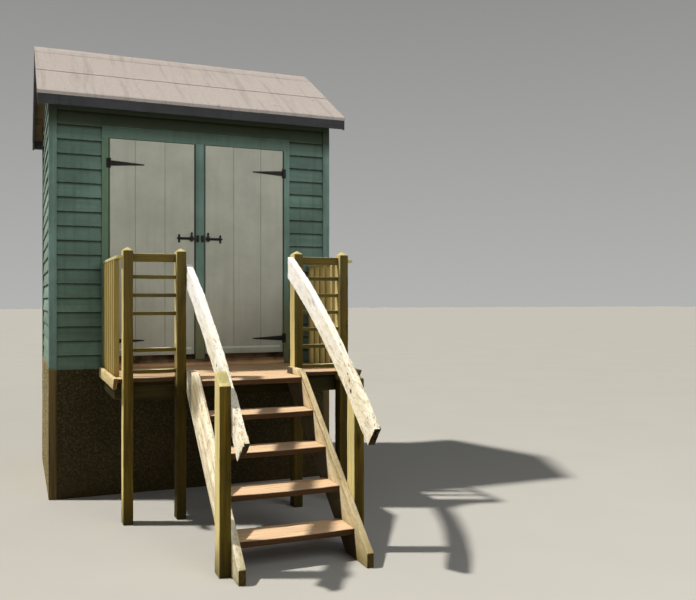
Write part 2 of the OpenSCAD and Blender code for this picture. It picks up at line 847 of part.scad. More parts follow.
plinth_front();
plinth_back();
plinth_left();
plinth_right();
floor();
corner_posts();
front_wall_left();
front_wall_right();
front_wall_top();
back_wall();
left_gable_wall();
right_gable_wall();
roof_front();
roof_back();
ridge_felt();
roof_timbers();
fascia_boards();
bargeboards();
door_jambs();
door_head();
door_mullion();
door_sill();
hinge_plates();
bolt_keeper();
left_door();
left_door_straps();
left_bolt();
right_door();
right_door_straps();
right_bolt();
deck_boards();
deck_joists();
deck_edge_boards();
deck_corner_posts();
newels();
low_posts();
front_panel_left();
front_panel_right();
side_railing_left();
side_railing_right();
stringers();
stair_treads();
handrail_left();
handrail_right();
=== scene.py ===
# %% [markdown]
# # A boarded hut on a masonry plinth
# This lesson dresses a finished CAD model of a small timber hut with a raised deck and a stair.
# The CAD solids say where everything is. Here each one gets the surface of the real thing:
# lapped boards, roughcast, felt, old paint, worn treads and bleached handrails.

# %% Load the fixed frame
import math

import bmesh
import bpy
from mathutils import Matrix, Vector


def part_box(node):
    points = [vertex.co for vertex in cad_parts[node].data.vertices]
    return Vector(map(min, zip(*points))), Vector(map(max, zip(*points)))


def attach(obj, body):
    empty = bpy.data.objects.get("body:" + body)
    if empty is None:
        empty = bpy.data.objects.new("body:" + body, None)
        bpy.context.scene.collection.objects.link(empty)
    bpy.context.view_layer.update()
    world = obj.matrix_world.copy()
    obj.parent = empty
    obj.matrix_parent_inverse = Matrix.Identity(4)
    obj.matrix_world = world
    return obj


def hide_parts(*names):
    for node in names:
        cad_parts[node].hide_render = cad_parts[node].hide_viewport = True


X, Y, Z = range(3)
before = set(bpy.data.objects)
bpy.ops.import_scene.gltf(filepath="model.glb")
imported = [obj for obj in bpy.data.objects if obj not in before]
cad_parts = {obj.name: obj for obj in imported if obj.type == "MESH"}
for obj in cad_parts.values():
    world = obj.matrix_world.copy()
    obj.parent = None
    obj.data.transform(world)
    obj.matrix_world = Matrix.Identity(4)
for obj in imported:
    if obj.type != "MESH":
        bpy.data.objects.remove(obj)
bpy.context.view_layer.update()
print("frame with", len(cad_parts), "nodes")

# %% [markdown]
# ## The camera and the light
# The camera stands at eye height, a few steps away and to the left of the stair, and looks
# level. A level camera keeps the upright boards parallel. The lens was found from the lines of
# the roof, the deck and the treads, which all run to the same two vanishing points.

# %% Camera
EYE = (-1.4465, -6.575, 1.62)
TURN = math.radians(-22.5)
LEVEL = math.radians(90)
SENSOR_MM = 36
LENS_MM = 41.22
bpy.ops.object.camera_add(location=EYE, rotation=(LEVEL, 0, TURN))
camera = bpy.context.object
camera.data.sensor_width = SENSOR_MM
camera.data.lens = LENS_MM
bpy.context.scene.camera = camera
print("camera at", EYE)

# %% [markdown]
# A warm key light with a soft edge comes from high on the left and slightly from behind, so
# the left faces and the tops are bright and the fronts stay quiet. A broad lamp in front and
# the pale surroundings fill the shade, so that grain and laps show there too.

# %% Key and fill lights
KEY = Vector((-0.58, 0.24, 1.00))
bpy.ops.object.light_add(type="SUN", rotation=KEY.to_track_quat("Z", "Y").to_euler())
key = bpy.context.object
key.data.energy = 4.8
key.data.angle = math.radians(3)
key.data.color = (1.0, 0.95, 0.86)

FRONT = Vector((3.0, -8.0, 6.0))
AIM = Vector((0, 0, 1.2))
bpy.ops.object.light_add(type="AREA", location=FRONT)
fill = bpy.context.object
fill.rotation_euler = (FRONT - AIM).to_track_quat("Z", "Y").to_euler()
fill.data.size = 5
fill.data.energy = 230
print("lights:", key.name, fill.name)

# %% Pale surroundings and floor
world = bpy.data.worlds.new("pale_room")
world.use_nodes = True
sky = world.node_tree
backdrop = sky.nodes["Background"]
backdrop.inputs["Color"].default_value = (0.90, 0.90, 0.89, 1)
direction = sky.nodes.new("ShaderNodeTexCoord")
upward = sky.nodes.new("ShaderNodeSeparateXYZ")
fade = sky.nodes.new("ShaderNodeMapRange")
fade.inputs["From Max"].default_value = 0.7
fade.inputs["To Min"].default_value = 0.50
fade.inputs["To Max"].default_value = 0.13
sky.links.new(direction.outputs["Generated"], upward.inputs["Vector"])
sky.links.new(upward.outputs["Z"], fade.inputs["Value"])
sky.links.new(fade.outputs["Result"], backdrop.inputs["Strength"])
bpy.context.scene.world = world
bpy.context.scene.view_settings.view_transform = "Standard"

FLOOR_SIZE = 300
bpy.ops.mesh.primitive_plane_add(size=FLOOR_SIZE, location=(0, 0, 0))
studio_floor = bpy.context.object
studio_floor.name = "studio_floor"
print("surroundings:", world.name, "and", studio_floor.name)

# %% [markdown]
# ## Helpers for finishes
# A finish is a small tree of nodes. These helpers add a node, a noise or a mix in one line
# each, so a recipe reads like a list of layers. Colours are given as they look on screen,
# from 0 to 255, and turned into the linear values that the shader works with.

# %% Node helpers
def tint(red, green, blue):
    shares = [value / 255 for value in (red, green, blue)]
    linear = [v / 12.92 if v <= 0.04045 else ((v + 0.055) / 1.055) ** 2.4 for v in shares]
    return (*linear, 1)


def shaded(colour, share):
    return tint(*[min(255, value * share) for value in colour])


def put(tree, kind, inputs=None, **settings):
    node = tree.nodes.new(kind)
    for name, value in settings.items():
        setattr(node, name, value)
    for name, value in (inputs or {}).items():
        if isinstance(value, bpy.types.NodeSocket):
            tree.links.new(value, node.inputs[name])
        else:
            node.inputs[name].default_value = value
    return node


def place(tree, stretch=(1, 1, 1), tilt=0.0, shift=(0, 0, 0)):
    coords = put(tree, "ShaderNodeTexCoord").outputs["Object"]
    turned = put(tree, "ShaderNodeMapping",
                 {"Vector": coords, "Rotation": (tilt, 0, 0), "Location": shift})
    scaled = put(tree, "ShaderNodeMapping",
                 {"Vector": turned.outputs["Vector"], "Scale": stretch})
    return scaled.outputs["Vector"]


def noise(tree, vector, scale, detail=4.0, rough=0.55, warp=0.0):
    made = put(tree, "ShaderNodeTexNoise",
               {"Vector": vector, "Scale": scale, "Detail": detail, "Roughness": rough,
                "Distortion": warp})
    return made.outputs["Fac"]


def sums(tree, how, first, second=0.0):
    made = put(tree, "ShaderNodeMath", {0: first, 1: second}, operation=how)
    return made.outputs["Value"]


def levels(tree, value, low, high, out_low=0.0, out_high=1.0):
    made = put(tree, "ShaderNodeMapRange",
               {"Value": value, "From Min": low, "From Max": high, "To Min": out_low,
                "To Max": out_high})
    return made.outputs["Result"]


def layer(tree, share, below, above):
    made = put(tree, "ShaderNodeMix", {0: share, 6: below, 7: above}, data_type="RGBA")
    return made.outputs[2]


def axis_of(tree, output, name):
    split = put(tree, "ShaderNodeSeparateXYZ", {"Vector": output})
    return split.outputs[name]


def facing(tree, name):
    return axis_of(tree, put(tree, "ShaderNodeNewGeometry").outputs["True Normal"], name)


def new_finish(name, gloss=0.15):
    finish = bpy.data.materials.new(name)
    finish.use_nodes = True
    shader = finish.node_tree.nodes["Principled BSDF"]
    shader.inputs["Specular IOR Level"].default_value = gloss
    return finish, finish.node_tree, shader


def close(tree, shader, colour, rough, height, depth):
    bump = put(tree, "ShaderNodeBump", {"Height": height, "Strength": 1.0, "Distance": depth})
    tree.links.new(colour, shader.inputs["Base Color"])
    tree.links.new(rough, shader.inputs["Roughness"])
    tree.links.new(bump.outputs["Normal"], shader.inputs["Normal"])


print("node helpers ready")

# %% [markdown]
# Worn arrises are found with the Bevel node: it rounds the shading normal near an edge, and
# where that rounded normal turns away from the flat one, there is an edge. Broken up with
# noise, it lets bare wood or pale fibre show just where hands and weather reach.

# %% Worn edges
def worn_edges(tree, radius, vector, scale):
    rounded = put(tree, "ShaderNodeBevel", {"Radius": radius}, samples=4)
    flat = put(tree, "ShaderNodeNewGeometry")
    match = put(tree, "ShaderNodeVectorMath",
                {0: rounded.outputs["Normal"], 1: flat.outputs["True Normal"]},
                operation="DOT_PRODUCT")
    edge = levels(tree, match.outputs["Value"], 0.985, 0.80)
    patches = levels(tree, noise(tree, vector, scale), 0.42, 0.62)
    return sums(tree, "MULTIPLY", edge, patches)


def across(axis, wide, long):
    stretch = [wide, wide, wide]
    stretch[axis] = long
    return tuple(stretch)


def zoned(tree, whole, cloud, colour, zones):
    for name, start, end, share, tone in zones:
        reach = levels(tree, axis_of(tree, whole, name), start, end, 0.0, share)
        reach = sums(tree, "MULTIPLY", reach, levels(tree, cloud, 0.0, 1.0, 0.7, 1.0))
        colour = layer(tree, reach, colour, tint(*tone))
    return colour


def add_stains_and_shade(tree, whole, fibres, colour, stains_and_shade):
    # Each patch tints the colour round a point: real stains, and on the left stringer painted
    # shade.
    for centre, stretch, size, share, tone in stains_and_shade:
        away = put(tree, "ShaderNodeVectorMath", {0: whole, 1: centre}, operation="SUBTRACT")
        away = put(tree, "ShaderNodeVectorMath", {0: away.outputs["Vector"], 1: stretch},
                   operation="MULTIPLY")
        away = put(tree, "ShaderNodeVectorMath", {0: away.outputs["Vector"]},
                   operation="LENGTH")
        ragged = sums(tree, "MULTIPLY", away.outputs["Value"],
                      levels(tree, fibres, 0.2, 0.8, 0.8, 1.3))
        colour = layer(tree, levels(tree, ragged, size, size * 0.5, 0.0, share), colour,
                       tint(*tone))
    return colour


print("edge wear, zones and stains ready")

# %% [markdown]
# ## Bare timber
# Sawn softwood shows long fine fibres, a broader figure of summer and winter growth, and
# knots. Each is a pattern that is stretched along the grain. Weather adds grey or green
# patches, bleaches what faces the sky and opens dark drying cracks. Faces towards the key
# light on the left are painted paler too, as a painted highlight, and painted shade darkens
# timber under the deck and under the treads. Each of these is a layer, and a layer that only
# some of the timbers need is a function of its own.

# %% Sizes that the timber finishes use
FRONT_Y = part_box("corner_posts")[0].y
DECK_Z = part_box("deck_boards")[1].z
RISE = 0.215
GOING = 0.2505
NOSE = FRONT_Y - 1.280
CAPPING_T = 0.022
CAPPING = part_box("side_railing_left")[1].z - CAPPING_T
RAIL_LEFT = -0.295
RAIL_RIGHT = 0.500
RAIL_PITCH = math.radians(34)
STRINGER_PITCH = math.radians(38.6)
print("the deck is", round(DECK_Z, 3), "m above the ground")

# %% Sun, rain, painted highlight and painted shade on timber
def bleached_and_sunlit(tree, whole, fibres, colour, axis, tilt, bleach_and_sun_side, pale, sunny, painted_deck_shade_x):
    # Faces that look up are weathered paler. Faces that look left, towards the key light, are
    # painted paler as well: a painted highlight, which the sunny range scales by place.
    upward = levels(tree, facing(tree, "Z"), 0.3, 0.9)
    painted_sun_side = levels(tree, facing(tree, "X"), -0.4, -0.9)
    sky = sums(tree, "MAXIMUM", upward, sums(tree, "MULTIPLY", painted_sun_side, 0.8))
    sky = sums(tree, "MULTIPLY", sky, levels(tree, fibres, 0.3, 0.55, 0.5, 1.0))
    if sunny:
        side = levels(tree, axis_of(tree, whole, sunny[0]), *sunny[1:])
        streaky = noise(tree, place(tree, across(axis, 17, 1.4), tilt, (4, 4, 1)), 1.0, 4)
        side = sums(tree, "MULTIPLY", side, levels(tree, streaky, 0.36, 0.62, 0.3, 1.0))
        sky = sums(tree, "MULTIPLY", sky, side)
    # Painted shade under the deck: right of the given x and below the deck, the pale is taken
    # away and the colour darkened.
    if painted_deck_shade_x:
        under = sums(tree, "MULTIPLY",
                     levels(tree, axis_of(tree, whole, "X"), painted_deck_shade_x, painted_deck_shade_x + 0.1),
                     levels(tree, axis_of(tree, whole, "Z"), DECK_Z - 0.01, DECK_Z - 0.08))
        sky = sums(tree, "MULTIPLY", sky, sums(tree, "SUBTRACT", 1.0, under))
        colour = layer(tree, sums(tree, "MULTIPLY", under, 0.45), colour, tint(26, 18, 4))
    colour = layer(tree, sums(tree, "MULTIPLY", sky, bleach_and_sun_side), colour, tint(*pale))
    worn = worn_edges(tree, 0.004, whole, 14)
    return layer(tree, sums(tree, "MULTIPLY", worn, 0.7), colour, tint(*pale))


def splashed(tree, whole, cloud, colour, tone):
    height = axis_of(tree, whole, "Z")
    wet = sums(tree, "ADD", height, sums(tree, "MULTIPLY", cloud, 0.12))
    return layer(tree, levels(tree, wet, 0.32, 0.02, 0.0, 0.75), colour, tint(*tone))


def flaked(tree, whole, colour, axis, tilt, flakes, smears):
    smear = noise(tree, place(tree, across(axis, 34, 11), tilt, (2, 6, 4)), 1.0, 4, 0.68)
    lower = levels(tree, axis_of(tree, whole, "Z"), 1.75, 1.15, 0.2, 1.0)
    lower = sums(tree, "MULTIPLY", lower, flakes)
    smear = sums(tree, "MULTIPLY", levels(tree, smear, 0.50, 0.66, 0.0, 0.8), lower)
    colour = layer(tree, smear, colour, tint(*smears))
    speck = noise(tree, place(tree, across(axis, 120, 46), tilt, (5, 1, 8)), 1.0, 3, 0.6)
    lifted = sums(tree, "MULTIPLY", levels(tree, speck, 0.61, 0.69), lower)
    return layer(tree, lifted, colour, tint(124, 102, 66)), lifted


print("sun, rain and flakes ready")

# %% Painted tread shadows, knots and end grain
def paint_tread_shadows(tree, whole, colour, top, rise, nose, going):
    # Painted shadow: the shadow that each tread casts on the inner faces of the stringers,
    # leaning as the key light falls, is painted dark.
    rows = sums(tree, "DIVIDE", sums(tree, "SUBTRACT", top, axis_of(tree, whole, "Z")), rise)
    lean = sums(tree, "MULTIPLY", sums(tree, "FRACT", rows), rise * KEY.y)
    edge = sums(tree, "MULTIPLY", sums(tree, "FLOOR", rows), going)
    edge = sums(tree, "SUBTRACT", nose, sums(tree, "ADD", edge, lean))
    behind = sums(tree, "SUBTRACT", axis_of(tree, whole, "Y"), edge)
    inward = sums(tree, "MULTIPLY", axis_of(tree, whole, "X"), facing(tree, "X"))
    inward = levels(tree, inward, -0.05, -0.20, 0.0, 0.88)
    tread_shadow = sums(tree, "MULTIPLY", levels(tree, behind, -0.008, 0.014), inward)
    return layer(tree, tread_shadow, colour, tint(46, 32, 10))


def knot_holes(tree, whole, fibres, colour, marks, tone):
    for point, size in marks:
        far = put(tree, "ShaderNodeVectorMath", {0: whole, 1: point}, operation="DISTANCE")
        ragged = sums(tree, "MULTIPLY", far.outputs["Value"],
                      levels(tree, fibres, 0.2, 0.8, 0.7, 1.5))
        colour = layer(tree, levels(tree, ragged, size, size * 0.55), colour, tint(*tone))
    return colour


def end_grained(tree, whole, colour, tone):
    ahead = levels(tree, facing(tree, "Y"), -0.35, -0.55)
    level_cut = levels(tree, facing(tree, "Z"), 0.25, 0.05)
    cut = sums(tree, "MULTIPLY", ahead, level_cut)
    rings = levels(tree, noise(tree, whole, 160.0, 3, 0.6), 0.35, 0.65)
    return layer(tree, cut, colour, layer(tree, rings, tint(*tone), shaded(tone, 0.5)))


print("shelter, knot holes and end grain ready")

# %% Timber recipe
def timber(name, axis, dark, light, knot, patch, tilt=0.0, knots=0.5, patches=0.5,
           bleach_and_sun_side=0.0, pale=None, cracks=0.3, depth=0.002, foot=None,
           flakes=0.0, smears=(164, 150, 122), marks=(), sawn_end=None, sunny=None,
           painted_tread_shadow=None, painted_front_shading=None, zones=(), stains_and_shade=(), painted_deck_shade_x=None):
    finish, tree, shader = new_finish(name)
    whole = place(tree)
    fibres = noise(tree, place(tree, across(axis, 95, 3.2), tilt), 1.0, 5, 0.6)
    figure = noise(tree, place(tree, across(axis, 13, 0.8), tilt, (3, 1, 2)), 1.0, 3, 0.5, 0.6)
    grain = sums(tree, "ADD", sums(tree, "MULTIPLY", fibres, 0.55),
                 sums(tree, "MULTIPLY", figure, 0.45))
    colour = layer(tree, levels(tree, grain, 0.36, 0.64), tint(*dark), tint(*light))
    spots = put(tree, "ShaderNodeTexVoronoi",
                {"Vector": place(tree, across(axis, 7.5, 2.6), tilt, (1, 4, 2)), "Scale": 1.0})
    ring = levels(tree, spots.outputs["Distance"], 0.16, 0.07)
    ring = sums(tree, "MULTIPLY", ring, knots)
    colour = layer(tree, ring, colour, tint(*knot))
    cloud = levels(tree, noise(tree, whole, 4.5, 5, 0.62), 0.45, 0.68)
    colour = layer(tree, sums(tree, "MULTIPLY", cloud, patches), colour, tint(*patch))
    split = noise(tree, place(tree, across(axis, 60, 1.3), tilt, (7, 2, 5)), 1.0, 2, 0.5, 0.3)
    crack = sums(tree, "MULTIPLY", levels(tree, split, 0.66, 0.71), cracks)
    colour = layer(tree, crack, colour, shaded(dark, 0.35))
    if bleach_and_sun_side:
        colour = bleached_and_sunlit(tree, whole, fibres, colour, axis, tilt, bleach_and_sun_side, pale, sunny, painted_deck_shade_x)
    if foot:
        colour = splashed(tree, whole, cloud, colour, foot)
    colour = zoned(tree, whole, cloud, colour, zones)
    lifted = 0.0
    if flakes:
        colour, lifted = flaked(tree, whole, colour, axis, tilt, flakes, smears)
    if painted_tread_shadow:
        colour = paint_tread_shadows(tree, whole, colour, *painted_tread_shadow)
    # Faces that look to the front are painted towards a given tone: painted shade on deck boards
    # and treads, painted light on balusters.
    if painted_front_shading:
        ahead = levels(tree, facing(tree, "Y"), -0.5, -0.9, 0.0, painted_front_shading[0])
        colour = layer(tree, ahead, colour, tint(*painted_front_shading[1]))
    colour = add_stains_and_shade(tree, whole, fibres, colour, stains_and_shade)
    colour = knot_holes(tree, whole, fibres, colour, marks, knot)
    if sawn_end:
        colour = end_grained(tree, whole, colour, sawn_end)
    rough = levels(tree, fibres, 0.2, 0.8, 0.66, 0.92)
    height = sums(tree, "SUBTRACT", grain, sums(tree, "ADD", crack, ring))
    height = sums(tree, "SUBTRACT", height, lifted)
    close(tree, shader, colour, rough, height, depth)
    return finish


print("timber recipe ready")

# %% Olive, brown and bare timbers
OLIVE = dict(dark=(52, 38, 4), light=(108, 88, 24), knot=(34, 22, 4),
             patch=(74, 74, 8), pale=(240, 224, 158), bleach_and_sun_side=0.88, foot=(46, 40, 8))
GREENER = [("Z", 1.2, 1.7, 0.35, (104, 98, 64))]
# Below the deck on the stair side the posts get painted shade.
post_timber = timber("post_timber", Z, patches=0.55, painted_deck_shade_x=-0.65, zones=GREENER, **OLIVE)
low_post_timber = timber("low_post_timber", Z, patches=0.55,
                         stains_and_shade=[((-0.325, -1.945, 1.162), (1.6, 1.05, 1), 0.085, 0.8,
                                  (158, 152, 104))], **OLIVE)
rail_timber = timber("rail_timber", X, patches=0.45, zones=GREENER,
                     **{**OLIVE, "pale": (250, 236, 190), "bleach_and_sun_side": 1.1})
# Painted light: the front faces of the balusters are painted lighter.
spindle_timber = timber("spindle_timber", Z, patches=0.35, painted_front_shading=(0.70, (204, 180, 110)),
                        zones=[("Z", CAPPING - 0.003, CAPPING + 0.002, 0.7, (206, 204, 158))],
                        **{**OLIVE, "dark": (82, 70, 34), "light": (136, 120, 66),
                           "bleach_and_sun_side": 0.42})
under_timber = timber("under_timber", X, dark=(30, 26, 6), light=(62, 54, 18),
                      knot=(22, 16, 6), patch=(44, 44, 12), patches=0.6)
deck_timber = timber("deck_timber", X, dark=(66, 44, 24), light=(112, 80, 50),
                     knot=(42, 26, 14), patch=(96, 78, 50), patches=0.45, cracks=0.5,
                     # Painted shade on the front faces of the deck boards and treads.
                     pale=(232, 200, 164), bleach_and_sun_side=0.80, painted_front_shading=(0.55, (38, 22, 8)),
                     # Painted light: the deck is painted paler towards the hut wall, in the
                     # shade of the hut.
                     zones=[("Y", -0.42, -0.05, 0.85, (214, 180, 140))])
sill_timber = timber("sill_timber", X, dark=(186, 150, 110), light=(232, 194, 148),
                     knot=(84, 58, 34), patch=(150, 124, 88), patches=0.5,
                     pale=(226, 196, 156), bleach_and_sun_side=0.5,
                     # Painted shade: above this height the sill is painted dark, under the
                     # doors.
                     zones=[("Z", DECK_Z + 0.022, DECK_Z + 0.042, 0.95, (34, 22, 10))])
BARE = dict(dark=(150, 116, 78), light=(204, 170, 124), knot=(112, 70, 40),
            patch=(140, 116, 88), patches=0.35)
inside_upright = timber("inside_upright", Z, **BARE)
inside_level = timber("inside_level", X, **BARE)
roof_boards = timber("roof_boards", X, dark=(84, 68, 46), light=(132, 110, 78),
                     knot=(58, 40, 26), patch=(96, 88, 68), patches=0.5)
print("timber finishes:", len(bpy.data.materials))

# %% [markdown]
# The handrails and stringers have stood in the sun for years. Their surface is almost white,
# with grey and brown flecks where the fibres lift, holes at lost knots and a rough nap. They
# get the same layers with paler colours and deeper relief, turned to follow the slope.

# %% Bleached timber
RAIL_KNOTS = [((RAIL_RIGHT, -1.925, 1.044), 0.020), ((RAIL_RIGHT, -1.876, 1.148), 0.012),
              ((RAIL_RIGHT, -1.902, 1.107), 0.011), ((RAIL_LEFT, -1.640, 1.210), 0.012),
              ((RAIL_LEFT, -0.900, 1.720), 0.010), ((RAIL_LEFT, -2.070, 0.900), 0.014)]
handrail_timber = timber("handrail_timber", Y, dark=(218, 215, 204), light=(248, 249, 249),
                         knot=(70, 46, 24), patch=(202, 194, 164), patches=0.5,
                         pale=(250, 251, 254), bleach_and_sun_side=0.6, cracks=0.6, knots=0.6,
                         depth=0.004, tilt=-RAIL_PITCH, flakes=0.95,
                         smears=(176, 158, 122), marks=RAIL_KNOTS, sawn_end=(70, 50, 20),
                         zones=[("Z", 1.65, 1.05, 0.55, (234, 216, 160))],
                         stains_and_shade=[((RAIL_LEFT, -1.784, 1.150), (1, 0.5, 1), 0.066, 0.25,
                                  (146, 144, 92))])
stringer_timber = timber("stringer_timber", Y, dark=(150, 130, 92), light=(208, 186, 140),
                         knot=(72, 50, 22), patch=(160, 148, 98), patches=0.8,
                         pale=(250, 243, 220), bleach_and_sun_side=1.35, cracks=0.0, knots=0.6,
                         tilt=-STRINGER_PITCH, flakes=0.8, smears=(150, 130, 80),
                         foot=(104, 94, 36), sawn_end=(88, 70, 26),
                         sunny=("X", 0.0, 0.2, 1.0, 0.35),
                         # Painted shadow of the treads on the stringers' inner faces.
                         painted_tread_shadow=(DECK_Z, RISE, NOSE, GOING),
                         # Painted shade: a shadow of leaves darkens the top of the left
                         # stringer.
                         stains_and_shade=[((RAIL_LEFT, -0.97, 0.93), (1, 1, 1), 0.20, 0.8,
                                  (108, 94, 66))])
edge_board_timber = timber("edge_board_timber", Y, dark=(136, 116, 70), light=(200, 180, 126),
                           knot=(84, 58, 30), patch=(136, 116, 72), patches=0.45,
                           pale=(228, 212, 170), bleach_and_sun_side=0.45, cracks=0.6, knots=0.8,
                           flakes=0.4, sawn_end=(120, 96, 56))
print("bleached finishes ready")

# %% [markdown]
# ## Old paint
# Brush paint on sawn boards is never one colour. It chalks in patches, rain draws faint
# streaks down it, the grain lifts it into fine lines, and it wears through on the arrises.
# On lapped boards no two boards match quite, and the band under each lap is painted
# darker in the dirt colour: painted shade. Painted shade also darkens the boards just
# under the eave and thin lines along the door gaps.

# %% Shade and algae on lapped boards
def lap_shadows(tree, height, cloud, base, colour, dirt, foot, step):
    course = sums(tree, "DIVIDE", sums(tree, "SUBTRACT", height, foot), step)
    each = put(tree, "ShaderNodeTexWhiteNoise", {"W": sums(tree, "FLOOR", course)},
               noise_dimensions="1D")
    shade = levels(tree, each.outputs["Value"], 0.0, 1.0, 0.0, 0.48)
    base = layer(tree, shade, base, shaded(colour, 0.72))
    # Painted shade: the band under each lap is darkened.
    under = levels(tree, sums(tree, "FRACT", course), 0.78, 0.96, 0.0, 0.9)
    base = layer(tree, under, base, shaded(dirt, 0.35))
    algae = sums(tree, "ADD", height, levels(tree, cloud, 0.3, 0.7, -0.3, 0.3))
    algae = levels(tree, algae, foot + 1.5, foot + 0.1, 0.0, 0.22)
    return layer(tree, algae, base, tint(74, 90, 50))


print("lap shadows ready")

# %% Paint recipe
def paint(name, axis, colour, chalk, dirt, bare, streaks=0.35, wear=0.8, lap=None,
          foot=None, splash=None, painted_eave_shade=None, grain=1.0, painted_gap_shade=(), zones=()):
    finish, tree, shader = new_finish(name, 0.25)
    whole = place(tree)
    height = axis_of(tree, whole, "Z")
    fibres = noise(tree, place(tree, across(axis, 85, 2.4)), 1.0, 5, 0.6)
    figure = noise(tree, place(tree, across(axis, 16, 0.9), 0.0, (2, 5, 1)), 1.0, 3, 0.5, 0.5)
    rain = noise(tree, place(tree, (26, 26, 0.9)), 1.0, 4, 0.6)
    cloud = noise(tree, whole, 3.2, 5, 0.6)
    base = layer(tree, levels(tree, cloud, 0.36, 0.66), tint(*colour), tint(*chalk))
    base = layer(tree, sums(tree, "MULTIPLY", levels(tree, rain, 0.52, 0.72), streaks),
                 base, tint(*dirt))
    base = layer(tree, sums(tree, "MULTIPLY", levels(tree, figure, 0.50, 0.66), 0.28 * grain),
                 base, tint(*dirt))
    base = layer(tree, sums(tree, "MULTIPLY", levels(tree, fibres, 0.56, 0.66), 0.22 * grain),
                 base, tint(*dirt))
    if lap:
        base = lap_shadows(tree, height, cloud, base, colour, dirt, *lap)
    worn = sums(tree, "MULTIPLY", worn_edges(tree, 0.003, whole, 22), wear)
    base = layer(tree, worn, base, tint(*bare))
    if splash:
        wet = sums(tree, "ADD", height, levels(tree, rain, 0.35, 0.65, 0.10, -0.10))
        base = layer(tree, levels(tree, wet, splash[1], splash[0], 0.0, 0.22), base,
                     shaded(dirt, 0.86))
    # Painted shade: from a little below the given height up to the eave the boards are darkened.
    if painted_eave_shade:
        eave_shade = sums(tree, "ADD", height, levels(tree, cloud, 0.3, 0.7, -0.03, 0.03))
        base = layer(tree, levels(tree, eave_shade, painted_eave_shade - 0.14, painted_eave_shade + 0.02, 0.0, 0.88), base,
                     tint(32, 36, 8))
    # Painted shade: thin dark lines along the given x edges, where the door gaps are.
    for edge in painted_gap_shade:
        gap_shade = sums(tree, "SUBTRACT", axis_of(tree, whole, "X"), edge)
        gap_shade = levels(tree, sums(tree, "ABSOLUTE", gap_shade), 0.009, 0.006, 0.0, 0.75)
        base = layer(tree, gap_shade, base, tint(36, 46, 36))
    base = zoned(tree, whole, cloud, base, zones)
    washed = levels(tree, facing(tree, "Z"), 0.3, 0.7, 0.0, 0.8)
    base = layer(tree, washed, base, shaded(chalk, 1.16))
    if foot:
        top, dark, light = foot
        brown = sums(tree, "ADD", height, levels(tree, cloud, 0.3, 0.7, -0.04, 0.04))
        wood = layer(tree, levels(tree, figure, 0.35, 0.65), tint(*dark), tint(*light))
        base = layer(tree, levels(tree, brown, top + 0.012, top - 0.012), base, wood)
    rough = levels(tree, cloud, 0.3, 0.7, 0.62, 0.80)
    relief = sums(tree, "SUBTRACT", sums(tree, "ADD", fibres, figure),
                  sums(tree, "MULTIPLY", worn, 0.6))
    close(tree, shader, base, rough, relief, 0.0008)
    return finish


print("paint recipe ready")

# %% Green, white and slate paints
SAGE = dict(colour=(94, 122, 112), chalk=(116, 146, 138), dirt=(66, 86, 68),
            bare=(196, 190, 166))
PLINTH_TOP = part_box("front_wall_left")[0].z
HEAD_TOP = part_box("door_head")[1].z
LAP = 0.118
green_front = paint("green_boards_front", X, lap=(PLINTH_TOP, LAP), painted_eave_shade=HEAD_TOP, **SAGE)
# Painted light: the gable boards are the same green as the front, painted lighter as if in sun.
green_side = paint("green_boards_side", Y, lap=(PLINTH_TOP, LAP), colour=(122, 148, 136),
                   chalk=(150, 172, 160), dirt=(84, 102, 84), bare=(206, 200, 178))
green_level = paint("green_head", X, painted_eave_shade=HEAD_TOP, **SAGE)
MIDDLE_LOW, MIDDLE_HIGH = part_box("door_mullion")
JAMBS_LOW, JAMBS_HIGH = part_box("door_jambs")
JAMB_W = 0.058
LEFT_GAP = JAMBS_LOW.x + JAMB_W
RIGHT_GAP = JAMBS_HIGH.x - JAMB_W
# Painted shade along the door gaps. The lower parts are dirtier, and the left jamb is darker and
# greener.
green_upright = paint("green_upright", Z, **SAGE,
                      painted_gap_shade=(MIDDLE_LOW.x, MIDDLE_HIGH.x, LEFT_GAP, RIGHT_GAP),
                      zones=[("Z", 1.75, 1.35, 0.8, (122, 122, 84)),
                             ("X", LEFT_GAP + 0.02, LEFT_GAP, 0.5, (80, 104, 50))])
green_corner = paint("green_corner_post", Z, wear=1.0, painted_eave_shade=HEAD_TOP,
                     foot=(PLINTH_TOP, (68, 54, 24), (108, 90, 48)),
                     **{**SAGE, "colour": (98, 126, 118), "chalk": (120, 150, 146),
                        "bare": (222, 214, 190)})
white_doors = paint("white_doors", Z, colour=(172, 176, 165), chalk=(186, 190, 179),
                    dirt=(148, 152, 134), bare=(140, 124, 98), streaks=0.10, wear=0.5,
                    grain=0.45, splash=(PLINTH_TOP + 0.10, PLINTH_TOP + 0.62))
SLATE = dict(colour=(52, 54, 58), chalk=(68, 70, 75), dirt=(38, 38, 38),
             bare=(120, 112, 98), wear=0.6)
slate_trim = paint("slate_trim", X, **SLATE)
slate_verge = paint("slate_verge", Y, **SLATE)
print("paint finishes ready")

# %% [markdown]
# ## Masonry, felt and iron
# Roughcast is pebbles thrown at wet mortar, so its colour goes stone by stone: a Voronoi
# pattern gives every pebble its own shade and its own round relief. Mineral felt is the same
# idea at the scale of sand. Painted iron is nearly black, with rust where the paint is thin.

